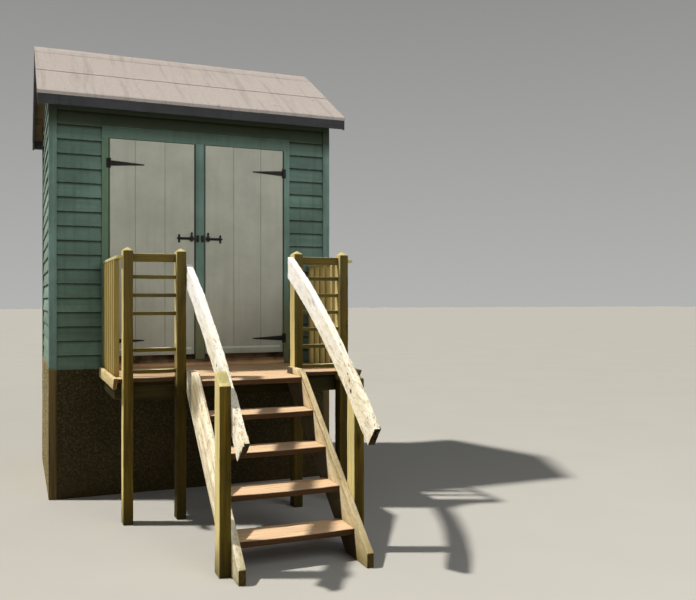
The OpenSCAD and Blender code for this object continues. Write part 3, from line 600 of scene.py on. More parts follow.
# %% Stone, felt and iron recipes
def roughcast(name):
    finish, tree, shader = new_finish(name)
    whole = place(tree)
    stones = put(tree, "ShaderNodeTexVoronoi", {"Vector": whole, "Scale": 62.0})
    shade = axis_of(tree, stones.outputs["Color"], "X")
    stone = layer(tree, shade, tint(112, 98, 60), tint(196, 182, 134))
    mortar = levels(tree, stones.outputs["Distance"], 0.45, 0.62)
    colour = layer(tree, mortar, stone, tint(94, 86, 60))
    damp = levels(tree, noise(tree, whole, 2.6, 6, 0.62), 0.42, 0.62)
    colour = layer(tree, sums(tree, "MULTIPLY", damp, 0.4), colour, tint(84, 74, 48))
    moss = levels(tree, noise(tree, place(tree, (1, 1, 1.6), 0.0, (3, 3, 3)), 5.0, 6, 0.7),
                  0.56, 0.66)
    colour = layer(tree, sums(tree, "MULTIPLY", moss, 0.4), colour, tint(104, 106, 52))
    height = axis_of(tree, whole, "Z")
    splash = levels(tree, sums(tree, "ADD", height, damp), 0.9, 0.1, 0.0, 0.5)
    colour = layer(tree, splash, colour, tint(122, 98, 54))
    # Painted shade: faces that look to the front are darkened, browner low down where the splash
    # is.
    front = levels(tree, facing(tree, "Y"), -0.8, -0.3, 0.88, 0.0)
    front_shade_tone = layer(tree, splash, tint(38, 31, 12), tint(38, 22, 6))
    colour = layer(tree, front, colour, front_shade_tone)
    rough = levels(tree, shade, 0.0, 1.0, 0.8, 0.97)
    relief = levels(tree, stones.outputs["Distance"], 0.0, 0.6, 1.0, 0.0)
    close(tree, shader, colour, rough, relief, 0.006)
    return finish


def mineral_felt(name):
    finish, tree, shader = new_finish(name)
    whole = place(tree)
    grit = put(tree, "ShaderNodeTexVoronoi", {"Vector": whole, "Scale": 420.0})
    shade = axis_of(tree, grit.outputs["Color"], "X")
    colour = layer(tree, shade, tint(150, 142, 138), tint(200, 191, 187))
    streak = noise(tree, place(tree, (20, 1.2, 1.2)), 1.0, 4, 0.6)
    colour = layer(tree, levels(tree, streak, 0.5, 0.72, 0.0, 0.4), colour,
                   tint(132, 124, 116))
    lichen = levels(tree, noise(tree, whole, 9.0, 6, 0.7), 0.62, 0.70, 0.0, 0.5)
    colour = layer(tree, lichen, colour, tint(120, 122, 96))
    worn = sums(tree, "MULTIPLY", worn_edges(tree, 0.003, whole, 20), 0.6)
    colour = layer(tree, worn, colour, tint(70, 66, 64))
    rough = levels(tree, shade, 0.0, 1.0, 0.82, 0.96)
    waves = noise(tree, whole, 6.0, 2)
    relief = sums(tree, "ADD", sums(tree, "MULTIPLY", grit.outputs["Distance"], 0.25), waves)
    close(tree, shader, colour, rough, relief, 0.004)
    return finish


def black_iron_finish(name):
    finish, tree, shader = new_finish(name, 0.3)
    whole = place(tree)
    hammer = noise(tree, whole, 90.0, 3)
    rust = levels(tree, noise(tree, whole, 38.0, 6, 0.7), 0.60, 0.70, 0.0, 0.6)
    colour = layer(tree, levels(tree, hammer, 0.3, 0.7), tint(10, 10, 11), tint(26, 25, 24))
    colour = layer(tree, rust, colour, tint(94, 56, 34))
    worn = sums(tree, "MULTIPLY", worn_edges(tree, 0.0015, whole, 60), 0.6)
    colour = layer(tree, worn, colour, tint(96, 78, 62))
    rough = levels(tree, hammer, 0.3, 0.7, 0.42, 0.66)
    close(tree, shader, colour, rough, hammer, 0.0006)
    return finish


def nail_finish(name):
    finish, tree, shader = new_finish(name, 0.5)
    whole = place(tree)
    shade = noise(tree, whole, 160.0, 3)
    colour = layer(tree, levels(tree, shade, 0.4, 0.6), tint(112, 108, 104), tint(92, 66, 48))
    shader.inputs["Metallic"].default_value = 0.7
    close(tree, shader, colour, levels(tree, shade, 0.3, 0.7, 0.4, 0.7), shade, 0.0004)
    return finish


stone = roughcast("roughcast")
felt = mineral_felt("mineral_felt")
iron = black_iron_finish("black_iron")
nail_steel = nail_finish("rusty_nails")
print("finishes in all:", len(bpy.data.materials))

# %% Floor finish
pale_floor, floor_tree, floor_shader = new_finish("pale_floor")
floor_tone = noise(floor_tree, place(floor_tree), 0.8, 3)
floor_colour = layer(floor_tree, floor_tone, tint(164, 163, 159), tint(172, 171, 167))
close(floor_tree, floor_shader, floor_colour, levels(floor_tree, floor_tone, 0, 1, 0.85, 0.95),
      floor_tone, 0.0005)
studio_floor.data.materials.append(pale_floor)
print("floor finished")

# %% [markdown]
# ## Helpers for modelling
# Every piece starts as a block at its true size and place. In edit mode its long edges are
# divided into short lengths, so it can wander a little as wood does, and a Bevel modifier
# takes the sharpness off the arrises. The faces and edges are chosen by place and direction.

# %% Modelling helpers
def take(*pieces):
    bpy.ops.object.select_all(action="DESELECT")
    for piece in pieces:
        piece.select_set(True)
    bpy.context.view_layer.objects.active = pieces[0]


def block(name, low, high):
    bpy.ops.object.select_all(action="DESELECT")
    low, high = Vector(low), Vector(high)
    bpy.ops.mesh.primitive_cube_add(size=1, location=(low + high) / 2, scale=high - low)
    bpy.ops.object.transform_apply(location=True, rotation=True, scale=True)
    piece = bpy.context.object
    piece.name = name
    return piece


def enter_edit(piece):
    take(piece)
    bpy.ops.object.mode_set(mode="EDIT")
    bpy.ops.mesh.select_all(action="SELECT")


def leave_edit():
    bpy.ops.object.mode_set(mode="OBJECT")


def choose(piece, kind, test):
    if bpy.context.mode != "EDIT_MESH":
        enter_edit(piece)
    bpy.ops.mesh.select_mode(type=kind)
    bpy.ops.mesh.select_all(action="DESELECT")
    mesh = bmesh.from_edit_mesh(piece.data)
    parts = {"VERT": mesh.verts, "EDGE": mesh.edges, "FACE": mesh.faces}[kind]
    for part in parts:
        if test(part):
            part.select_set(True)
    bmesh.update_edit_mesh(piece.data)


def cut_off(point, outward):
    bpy.ops.mesh.select_all(action="SELECT")
    bpy.ops.mesh.bisect(plane_co=point, plane_no=outward, use_fill=True, clear_outer=True)


print("blocks, choosing and cutting ready")

# %% Dividing, rounding and roughening
def runs_along(edge, axis):
    line = edge.verts[1].co - edge.verts[0].co
    return abs(line[axis]) > 0.99 * line.length


def divide(piece, axis, cuts):
    choose(piece, "EDGE", lambda edge: runs_along(edge, axis))
    bpy.ops.mesh.subdivide(number_cuts=cuts)
    leave_edit()


def round_arrises(piece, width, segments=2, angle=30):
    take(piece)
    bpy.ops.object.modifier_add(type="BEVEL")
    bevel = piece.modifiers[-1]
    bevel.width = width
    bevel.segments = segments
    bevel.limit_method = "ANGLE"
    bevel.angle_limit = math.radians(angle)
    bevel.harden_normals = False
    bpy.ops.object.modifier_apply(modifier=bevel.name)


def wander(piece, amount, size, direction="NORMAL", kind="CLOUDS", group=""):
    texture = bpy.data.textures.new("wander", kind)
    texture.noise_scale = size
    take(piece)
    bpy.ops.object.modifier_add(type="DISPLACE")
    shift = piece.modifiers[-1]
    shift.texture = texture
    shift.strength = amount
    shift.mid_level = 0.5
    shift.direction = direction
    shift.texture_coords = "LOCAL"
    shift.vertex_group = group
    bpy.ops.object.modifier_apply(modifier=shift.name)
    bpy.data.textures.remove(texture)


print("dividing, rounding and wandering ready")

# %% Copying, joining and handing over
def repeat(piece, steps):
    made = [piece]
    for step in steps:
        take(piece)
        bpy.ops.object.duplicate(linked=False)
        copy = bpy.context.object
        bpy.ops.transform.translate(value=step)
        bpy.ops.object.transform_apply(location=True, rotation=True, scale=True)
        made.append(copy)
    return made


def join(name, pieces):
    take(*pieces)
    if len(pieces) > 1:
        bpy.ops.object.join()
    piece = bpy.context.object
    piece.name = name
    piece.data.name = name
    return piece


def hand_over(piece, body, slot, finish, *nodes, smooth=40):
    piece.data.materials.clear()
    piece.data.materials.append(finish)
    take(piece)
    bpy.ops.object.shade_smooth_by_angle(angle=math.radians(smooth))
    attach(piece, body)
    if nodes:
        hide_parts(*nodes)
    print(piece.name, len(piece.data.polygons), "faces")


print("modelling helpers ready")

# %% [markdown]
# Some CAD solids already have the right shape and only want softer arrises. Such a solid is
# copied, its loose triangles are merged and joined into whole faces, and its edges are bevelled.
# The copy stands for the CAD solid, which stays as it is.

# %% Softened copies
def soften(node, name, width):
    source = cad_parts[node]
    piece = bpy.data.objects.new(name, source.data.copy())
    bpy.context.scene.collection.objects.link(piece)
    enter_edit(piece)
    bpy.ops.mesh.remove_doubles(threshold=0.00001)
    bpy.ops.mesh.dissolve_limited(angle_limit=math.radians(2))
    leave_edit()
    round_arrises(piece, width)
    return piece


HUT_LOW, HUT_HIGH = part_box("corner_posts")
BACK_Y = HUT_HIGH.y
print("hut from", HUT_LOW[:], "to", HUT_HIGH[:])

# %% [markdown]
# ## The masonry plinth
# The plinth is a rough rendered wall. A Displace modifier could lift the whole block, but only
# the outside is roughcast. So the block is divided into a fine grid, the outer face is put
# in a vertex group, and two textures push only that group: big swells first, then pebbles.

# %% Roughcast walls
CAST_GRID = 0.017
CAST_EDGE = 0.01
CAST_RELIEF = (("CLOUDS", 0.16, 0.012), ("VORONOI", 0.030, 0.007))


def roughcast_wall(node, name, axis, outward):
    low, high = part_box(node)
    run = 1 - axis
    wall = block(name, low, high)
    divide(wall, run, int((high[run] - low[run]) / CAST_GRID))
    divide(wall, Z, int((high.z - low.z) / CAST_GRID))
    outer = high[axis] if outward > 0 else low[axis]
    choose(wall, "VERT", lambda v: abs(v.co[axis] - outer) < 1e-4
           and low.z + CAST_EDGE < v.co.z < high.z - CAST_EDGE
           and low[run] + CAST_EDGE < v.co[run] < high[run] - CAST_EDGE)
    bpy.ops.object.vertex_group_add()
    bpy.ops.object.vertex_group_assign()
    leave_edit()
    group = wall.vertex_groups[-1].name
    for kind, size, amount in CAST_RELIEF:
        wander(wall, amount, size, kind=kind, group=group)
    hand_over(wall, "hut", "masonry", stone, node, smooth=80)


for side, axis, outward in (("front", Y, -1), ("back", Y, 1), ("left", X, -1), ("right", X, 1)):
    roughcast_wall("plinth_" + side, "plinth_" + side + "_cast", axis, outward)

# %% [markdown]
# ## Corner posts of the hut
# Four squared posts run from the ground to the roof and the boards die against them. Each is a
# block, divided along its length and bevelled, then cut under the slope of the roof with a
# bisect. Their arrises are the most knocked edges of the hut, so they wander a little.

# %% Corner posts
PITCH = math.radians(31)
ROOF_LIFT = 0.0001
FALL = math.tan(PITCH)
WALL_H = 2.290
WALL_TOP = PLINTH_TOP + WALL_H
MID_Y = (FRONT_Y + BACK_Y) / 2
POST = 0.062
POST_SPARE = 0.06


def cut_under_roof(piece):
    enter_edit(piece)
    for side, edge_y in ((-1, FRONT_Y), (1, BACK_Y)):
        cut_off((0, edge_y, WALL_TOP - ROOF_LIFT),
                (0, side * math.sin(PITCH), math.cos(PITCH)))
    leave_edit()


corner_posts = []
for x in (HUT_LOW.x, HUT_HIGH.x - POST):
    for y in (FRONT_Y, BACK_Y - POST):
        post = block("corner_post", (x, y, 0), (x + POST, y + POST, WALL_TOP + POST_SPARE))
        divide(post, Z, 70)
        round_arrises(post, 0.004)
        corner_posts.append(post)
hut_posts = join("hut_corner_posts", corner_posts)
wander(hut_posts, 0.0035, 0.12)
cut_under_roof(hut_posts)
hand_over(hut_posts, "hut", "green_paint", green_corner, "corner_posts")

# %% [markdown]
# ## Feather-edged cladding
# A feather-edged board is thick at its lower edge and thin at its upper edge, and each one
# laps over the one below. One board is a block whose top is moved back so that it leans,
# with a rounded lip. It is copied up the wall, a lap at a time, and the joined courses wander
# slightly, because sawn boards are never quite straight.

# %% One wall of boards
OVERLAP = 0.024
BOARD_H = LAP + OVERLAP
BOARD_CELL = 0.09
INSET = 0.007
LEAN = 0.0150
BUTT = 0.0145


def lapped_wall(name, axis, outside, outward, start, end, foot, head, node, finish):
    depth = 1 - axis

    def spot(run, behind, height):
        point = [0, 0, height]
        point[axis] = run
        point[depth] = outside - outward * behind
        return Vector(point)

    first = math.floor((foot - PLINTH_TOP) / LAP + 0.001)
    last = math.ceil((head - PLINTH_TOP) / LAP - 0.001)
    base = PLINTH_TOP + first * LAP
    a, b = spot(start, INSET, base), spot(end, INSET + BUTT, base + BOARD_H)
    low = [min(a[i], b[i]) for i in range(3)]
    high = [max(a[i], b[i]) for i in range(3)]
    board = block(name, low, high)
    divide(board, axis, max(4, int((end - start) / BOARD_CELL)))
    choose(board, "VERT", lambda v: v.co.z > base + BOARD_H / 2)
    back = [0, 0, 0]
    back[depth] = -outward * LEAN
    bpy.ops.transform.translate(value=back)
    leave_edit()
    round_arrises(board, 0.0025)
    wall = join(name, repeat(board, [(0, 0, LAP * i) for i in range(1, last - first)]))
    wander(wall, 0.0030, 0.35, "XYZ"[depth])
    wander(wall, 0.0090, 0.45, "Z")
    enter_edit(wall)
    cut_off((0, 0, foot), (0, 0, -1))
    cut_off((0, 0, head), (0, 0, 1))
    leave_edit()
    cut_under_roof(wall)
    hand_over(wall, "hut", "green_paint", finish, node)


print("one board is", round(BOARD_H, 3), "m high")

# %% The six walls
ROOF_PEAK = WALL_TOP + (MID_Y - FRONT_Y) * FALL
CLADDING_TOP = WALL_TOP + 0.03
BETWEEN_X = (HUT_LOW.x + POST, HUT_HIGH.x - POST)
BETWEEN_Y = (FRONT_Y + POST, BACK_Y - POST)
LEFT_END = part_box("front_wall_left")[1].x
RIGHT_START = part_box("front_wall_right")[0].x
front_walls = (("left", BETWEEN_X[0], LEFT_END, PLINTH_TOP),
               ("right", RIGHT_START, BETWEEN_X[1], PLINTH_TOP),
               ("top", LEFT_END, RIGHT_START, HEAD_TOP))
for side, start, end, foot in front_walls:
    lapped_wall("cladding_front_" + side, X, FRONT_Y, -1, start, end, foot, CLADDING_TOP,
                "front_wall_" + side, green_front)
lapped_wall("cladding_back", X, BACK_Y, 1, *BETWEEN_X, PLINTH_TOP, CLADDING_TOP,
            "back_wall", green_front)
for side, outside, outward in (("left", HUT_LOW.x, -1), ("right", HUT_HIGH.x, 1)):
    lapped_wall("cladding_" + side, Y, outside, outward, *BETWEEN_Y, PLINTH_TOP, ROOF_PEAK,
                side + "_gable_wall", green_side)

# %% [markdown]
# ## Lining and floor inside
# Behind the cladding the room is lined with upright matchboards and floored with planks. When
# a door opens they are what is seen. One matchboard with chamfered edges is copied along each
# wall, and the roof cuts their tops.

# %% Matchboard lining
WALL_T = 0.075
LINING_T = 0.014
MATCHBOARD = 0.118
INNER_X = HUT_HIGH.x - WALL_T
INNER_FRONT = FRONT_Y + WALL_T
LEFT_JAMB = JAMBS_LOW.x
RIGHT_JAMB = JAMBS_HIGH.x


def lining(name, axis, face, inward, start, end, foot, head):
    count = max(1, round((end - start) / MATCHBOARD))
    width = (end - start) / count
    low, high = [0, 0, foot], [0, 0, head]
    low[axis], high[axis] = start, start + width
    low[1 - axis], high[1 - axis] = sorted((face, face - inward * LINING_T))
    board = block(name, low, high)
    round_arrises(board, 0.0035, 1)
    offsets = [i * width for i in range(1, count)]
    steps = [(offset, 0, 0) if axis == X else (0, offset, 0) for offset in offsets]
    made = join(name, repeat(board, steps))
    cut_under_roof(made)
    return made


walls = [
    lining("lining_front_left", X, INNER_FRONT, 1, -INNER_X, LEFT_JAMB, PLINTH_TOP, WALL_TOP),
    lining("lining_front_right", X, INNER_FRONT, 1, RIGHT_JAMB, INNER_X, PLINTH_TOP, WALL_TOP),
    lining("lining_over_doors", X, INNER_FRONT, 1, LEFT_JAMB, RIGHT_JAMB, HEAD_TOP, WALL_TOP),
    lining("lining_back", X, BACK_Y - WALL_T, -1, -INNER_X, INNER_X, PLINTH_TOP, WALL_TOP),
    lining("lining_left", Y, -INNER_X, 1, *BETWEEN_Y, PLINTH_TOP, ROOF_PEAK),
    lining("lining_right", Y, INNER_X, -1, *BETWEEN_Y, PLINTH_TOP, ROOF_PEAK),
]
hand_over(join("inside_lining", walls), "hut", "inside_timber", inside_upright)

# %% Floor planks
PLANK = 0.140
PLANK_T = 0.022
PLANK_GAP = 0.001
JOIST_W = 0.047
JOIST_GAP = 0.0005
JOISTS = 6
low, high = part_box("floor")
count = round((high.y - low.y) / PLANK)
width = (high.y - low.y) / count
plank = block("plank", (low.x, low.y + PLANK_GAP, high.z - PLANK_T),
              (high.x, low.y + width - PLANK_GAP, high.z))
divide(plank, X, 12)
round_arrises(plank, 0.002)
planks = join("floor_planks", repeat(plank, [(0, i * width, 0) for i in range(1, count)]))
wander(planks, 0.002, 0.2, "Z")
joist_top = high.z - (PLANK_T + JOIST_GAP)
joist = block("joist", (low.x, low.y, low.z), (low.x + JOIST_W, high.y, joist_top))
round_arrises(joist, 0.002, 1)
gap = (high.x - low.x - JOIST_W) / (JOISTS - 1)
joists = join("floor_joists", repeat(joist, [(i * gap, 0, 0) for i in range(1, JOISTS)]))
floor = join("hut_floor", [planks, joists])
hand_over(floor, "hut", "inside_timber", inside_level, "floor")

# %% [markdown]
# ## The roof
# Mineral felt comes in rolls, laid from the eave upwards so that each sheet laps over the
# one below, and its lowest edge is turned down over the fascia. The CAD slab stays as the
# boards beneath. Each sheet is a thin block that is divided both ways, tilted to the pitch
# and then allowed to wave, as felt does between its nails.

# %% Felt sheets
ROOF_T = 0.024
EAVE = 0.150
ROOF_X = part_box("roof_front")[1].x
ROOF_V = ROOF_T / math.cos(PITCH)
SLOPE_L = (MID_Y - FRONT_Y + EAVE) / math.cos(PITCH)
FELT_X = ROOF_X + 0.002
FELT_T = 0.003
FELT_LAP = 0.06
LAP_AT = 0.54
TURN_DOWN = ((0, -0.003, -0.004), (0, 0, -0.022))


def slope_point(distance, lift):
    run = -EAVE + distance * math.cos(PITCH)
    rise = distance * math.sin(PITCH)
    top = WALL_TOP + ROOF_V - EAVE * FALL + rise
    return (FRONT_Y + run - lift * math.sin(PITCH), top + lift * math.cos(PITCH))


def felt_sheet(name, start, end, lift, edge_steps):
    sheet = block(name, (-FELT_X, 0, 0), (FELT_X, end - start, FELT_T))
    divide(sheet, X, 60)
    divide(sheet, Y, 14)
    enter_edit(sheet)
    bpy.ops.transform.rotate(value=-PITCH, orient_axis="X", center_override=(0, 0, 0))
    y, z = slope_point(start, lift)
    bpy.ops.transform.translate(value=(0, y, z))
    if edge_steps:
        choose(sheet, "FACE", lambda face: face.calc_center_median().y < y + 0.0005
               and face.normal.y < -0.5)
    for step in edge_steps:
        bpy.ops.mesh.extrude_region_move(TRANSFORM_OT_translate={"value": step})
    leave_edit()
    wander(sheet, 0.0035, 0.22, "Z")
    return sheet


sheets = [felt_sheet("felt_low", 0.0, LAP_AT + FELT_LAP, 0.0022, TURN_DOWN),
          felt_sheet("felt_high", LAP_AT, SLOPE_L - 0.01, 0.0062, ())]
front_felt = join("felt_front", sheets)
print("slope length", round(SLOPE_L, 3), "box", [round(v, 3) for v in front_felt.bound_box[0]])

# %% Felt on the back slope
take(front_felt)
bpy.ops.object.duplicate(linked=False)
back_felt = bpy.context.object
back_felt.name = "felt_back"
enter_edit(back_felt)
bpy.ops.transform.mirror(constraint_axis=(False, True, False), center_override=(0, MID_Y, 0))
bpy.ops.mesh.normals_make_consistent(inside=False)
leave_edit()
hand_over(front_felt, "hut", "roof_felt", felt, smooth=50)
hand_over(back_felt, "hut", "roof_felt", felt, smooth=50)

# %% Ridge cap and bare roof boards
RIDGE_LIFT = 0.0085
ridge = soften("ridge_felt", "ridge_cap", 0.0012)
divide(ridge, X, 50)
enter_edit(ridge)
bpy.ops.transform.translate(value=(0, 0, RIDGE_LIFT))
leave_edit()
wander(ridge, 0.003, 0.15, "Z")
hand_over(ridge, "hut", "roof_felt", felt, "ridge_felt", smooth=50)
for node in ("roof_front", "roof_back"):
    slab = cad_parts[node]
    slab.data.materials.clear()
    slab.data.materials.append(roof_boards)
    print(node, "gets bare boards")

# %% Roof timbers and trim
timbers = soften("roof_timbers", "purlins_and_ridge_board", 0.003)
hand_over(timbers, "hut", "inside_timber", inside_level, "roof_timbers")
fascia = soften("fascia_boards", "fascia_trim", 0.002)
hand_over(fascia, "hut", "slate_paint", slate_trim, "fascia_boards")
barge = soften("bargeboards", "verge_trim", 0.002)
hand_over(barge, "hut", "slate_paint", slate_verge, "bargeboards")

# %% [markdown]
# ## The door frame
# Two jambs, a head board and a fixed post between the doors make the frame, all in the same
# green. They are planed, so they stay straighter than the boards, with small round arrises.

# %% Jambs, head, middle post and sill
jambs = []
for x in (JAMBS_LOW.x, JAMBS_HIGH.x - JAMB_W):
    jamb = block("jamb", (x, JAMBS_LOW.y, JAMBS_LOW.z), (x + JAMB_W, JAMBS_HIGH.y, JAMBS_HIGH.z))
    divide(jamb, Z, 24)
    round_arrises(jamb, 0.0025)
    jambs.append(jamb)
jamb_pair = join("jamb_pair", jambs)
wander(jamb_pair, 0.0015, 0.3)
hand_over(jamb_pair, "hut", "green_paint", green_upright, "door_jambs")
head = block("head_board", *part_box("door_head"))
divide(head, X, 24)
round_arrises(head, 0.003)
wander(head, 0.0015, 0.3)
hand_over(head, "hut", "green_paint", green_level, "door_head")
middle = soften("door_mullion", "middle_post", 0.003)
hand_over(middle, "hut", "green_paint", green_upright, "door_mullion")
sill = soften("door_sill", "worn_sill", 0.004)
hand_over(sill, "hut", "deck_timber", sill_timber, "door_sill")

# %% [markdown]
# ## The doors
# Each door is three upright boards with V joints, held by three ledges and two braces behind
# and thrown clear of rain by a drip rail at the foot. The boards are separate blocks with
# chamfered long edges, so the V joints are real. The drip rail is a block whose top edge is
# pushed back to make the weathering slope.

# %% Sizes of a door
DOOR_LOW, DOOR_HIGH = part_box("left_door")
DOOR_FOOT = PLINTH_TOP + 0.103
DOOR_H = 1.816
DOOR_T = 0.022
DOOR_BACK = FRONT_Y + DOOR_T
LEAF_W = DOOR_HIGH.x - DOOR_LOW.x
JOINTS = (0.208, 0.208 + 0.246)
JOINT_GAP = 0.0004
JOINT_CHAMFER = 0.0036
LEDGE_H = 0.110
LEDGE_T = 0.025
LEDGE_IN = 0.028
LEDGES = [LEDGE_H, (DOOR_H - LEDGE_H) / 2, DOOR_H - 2 * LEDGE_H]
DRIP_H = 0.062
DRIP_OUT = 0.022
print("a door leaf is", round(LEAF_W, 3), "m wide")

# %% Boards, ledges, braces and drip rail
def v_jointed_boards(name, span, top):
    marks = [0.0, *JOINTS, LEAF_W]
    boards = []
    for start, end in zip(marks, marks[1:]):
        left, right = span(start + JOINT_GAP, end - JOINT_GAP)
        board = block(name, (left, FRONT_Y, DOOR_FOOT), (right, DOOR_BACK, top))
        divide(board, Z, 30)
        choose(board, "EDGE", lambda e: runs_along(e, Z)
               and all(abs(v.co.y - FRONT_Y) < 1e-4 for v in e.verts))
        bpy.ops.mesh.bevel(offset=JOINT_CHAMFER, segments=1, affect="EDGES")
        leave_edit()
        boards.append(board)
    leaf = join(name, boards)
    wander(leaf, 0.0012, 0.3, "Y")
    return leaf


def ledges_and_braces(span, way):
    made = []
    left, right = span(LEDGE_IN, LEAF_W - LEDGE_IN)
    for height in LEDGES:
        low_z = DOOR_FOOT + height
        ledge = block("ledge", (left, DOOR_BACK, low_z),
                      (right, DOOR_BACK + LEDGE_T, low_z + LEDGE_H))
        round_arrises(ledge, 0.004)
        made.append(ledge)
    left, right = span(LEDGE_IN, LEDGE_IN + LEDGE_H)
    for under, over in zip(LEDGES, LEDGES[1:]):
        brace = block("brace", (left, DOOR_BACK, DOOR_FOOT + under + LEDGE_H),
                      (right, DOOR_BACK + LEDGE_T, DOOR_FOOT + over))
        middle_z = DOOR_FOOT + (under + LEDGE_H + over) / 2
        choose(brace, "VERT", lambda v: v.co.z > middle_z)
        slant = way * (LEAF_W - 2 * LEDGE_IN - LEDGE_H)
        bpy.ops.transform.translate(value=(slant, 0, 0))
        leave_edit()
        round_arrises(brace, 0.003, 1)
        made.append(brace)
    return made


def drip_rail(left, right):
    drip = block("drip", (left, FRONT_Y - DRIP_OUT, DOOR_FOOT),
                 (right, FRONT_Y + 0.0005, DOOR_FOOT + DRIP_H))
    choose(drip, "FACE", lambda face: face.normal.y < -0.5)
    bpy.ops.mesh.subdivide(number_cuts=2)
    for height, step in ((0.06, (0, 0.0205, 0)), (0.04, (0, 0.0020, 0.0030))):
        choose(drip, "VERT", lambda v: v.co.y < FRONT_Y - 0.02 and v.co.z > DOOR_FOOT + height)
        bpy.ops.transform.translate(value=step)
    leave_edit()
    round_arrises(drip, 0.002, angle=25)
    return drip


print("door parts ready")

# %% Two doors
def door(node, name, hinge_x, way, body):
    def span(a, b):
        return sorted((hinge_x + way * a, hinge_x + way * b))

    leaf = v_jointed_boards(name, span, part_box(node)[1].z)
    behind = ledges_and_braces(span, way)
    drip = drip_rail(*span(LEDGE_IN, LEAF_W - LEDGE_IN))
    made = join(name, [leaf, *behind, drip])
    hand_over(made, body, "white_paint", white_doors, node)


door("left_door", "left_boarded_door", DOOR_LOW.x, 1, "left_leaf")
door("right_door", "right_boarded_door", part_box("right_door")[1].x, -1, "right_leaf")

# %% [markdown]
# ## Ironwork
# The straps, plates and bolts were forged and painted black. Their CAD shapes are right, so
# they are softened copies. The round-headed screws are added: one low dome with a few sides
# is modelled once and copied to every hole.

# %% Screws and nails
HEAD_SIDES = 10
HEAD_H = 0.002


def dome(name, radius, turned):
    bpy.ops.object.select_all(action="DESELECT")
    bpy.ops.mesh.primitive_cylinder_add(vertices=HEAD_SIDES, radius=radius, depth=HEAD_H,
                                        end_fill_type="NGON")
    head = bpy.context.object
    head.name = name
    choose(head, "FACE", lambda face: face.normal.z > 0.9)
    bpy.ops.mesh.inset(thickness=radius * 0.45)
    bpy.ops.transform.translate(value=(0, 0, HEAD_H * 0.35))
    leave_edit()
    if turned:
        enter_edit(head)
        bpy.ops.transform.rotate(value=math.pi / 2, orient_axis="X", center_override=(0, 0, 0))
        leave_edit()
    return head


def studs(name, radius, spots, turned=True):
    head = dome(name, radius, turned)
    copies = repeat(head, spots)
    bpy.data.objects.remove(copies[0])
    return join(name, copies[1:])


print("screw and nail heads ready")

# %% Straps, plates and bolts
HINGES = [DOOR_FOOT + z for z in (0.125, 1.607)]
SCREW_R = 0.0040
STRAP_FACE = FRONT_Y - 0.0055
STRAP_HOLES = ((0.034, 0.011), (0.034, -0.011), (0.110, 0), (0.185, 0), (0.252, 0))
PLATE_FACE = FRONT_Y - 0.0045
PLATE_IN = 0.011
PLATE_HOLES = (-0.029, 0, 0.029)
for side, way, body in (("left", 1, "left_leaf"), ("right", -1, "right_leaf")):
    node = side + "_door_straps"
    strap = soften(node, side + "_tee_straps", 0.0012)
    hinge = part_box(side + "_door")[0 if way > 0 else 1].x
    spots = [(hinge + way * along, STRAP_FACE, z + drop)
             for z in HINGES for along, drop in STRAP_HOLES]
    screws = studs(side + "_strap_screws", SCREW_R, spots)
    made = join(side + "_tee_straps", [strap, screws])
    hand_over(made, body, "black_iron", iron, node)
    bolt = soften(side + "_bolt", side + "_iron_bolt", 0.001)
    hand_over(bolt, body, "black_iron", iron, side + "_bolt")
plates = soften("hinge_plates", "jamb_plates", 0.0008)
low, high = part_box("hinge_plates")
spots = [(x, PLATE_FACE, z + drop) for x in (low.x + PLATE_IN, high.x - PLATE_IN)
         for z in HINGES for drop in PLATE_HOLES]
plate_screws = studs("plate_screws", SCREW_R, spots)
hand_over(join("jamb_plates", [plates, plate_screws]), "hut", "black_iron", iron,
          "hinge_plates")
keeper = soften("bolt_keeper", "iron_keeper", 0.0015)
hand_over(keeper, "hut", "black_iron", iron, "bolt_keeper")

# %% [markdown]
# ## Deck
# The deck boards run along the front of the hut and the outermost is notched round the posts.
# Each board is a block, divided, bevelled and slightly cupped by a slow wander, so light
# catches each one differently. The notches are Boolean cuts with the posts' own sizes.

# %% Deck boards
DECK_LOW, DECK_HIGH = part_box("deck_boards")
DECK_BOARD = 0.150
DECK_BOARDS = 6
STEP = 0.156
POST_W = 0.071
NOTCH_GAP = 0.001
CUT_SPARE = 0.02
board = block("deck_board", (DECK_LOW.x, FRONT_Y - DECK_BOARD, DECK_LOW.z),
              (DECK_HIGH.x, FRONT_Y, DECK_Z))
divide(board, X, 40)
divide(board, Y, 3)
round_arrises(board, 0.004)
boards = repeat(board, [(0, -i * STEP, 0) for i in range(1, DECK_BOARDS)])
notch_low, notch_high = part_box("deck_corner_posts")
posts_x = []
for node in ("deck_corner_posts", "newels"):
    low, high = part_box(node)
    posts_x += [low.x, high.x - POST_W]
for x in posts_x:
    cutter = block("cutter", (x - NOTCH_GAP, notch_low.y, DECK_LOW.z - CUT_SPARE),
                   (x + POST_W + NOTCH_GAP, notch_high.y + NOTCH_GAP, DECK_Z + CUT_SPARE))
    take(boards[-1])
    bpy.ops.object.modifier_add(type="BOOLEAN")
    notch = boards[-1].modifiers[-1]
    notch.object = cutter
    notch.operation = "DIFFERENCE"
    bpy.ops.object.modifier_apply(modifier=notch.name)
    bpy.data.objects.remove(cutter)
deck = join("deck_planks", boards)
wander(deck, 0.0045, 0.16, "Z")
hand_over(deck, "hut", "deck_timber", deck_timber, "deck_boards")

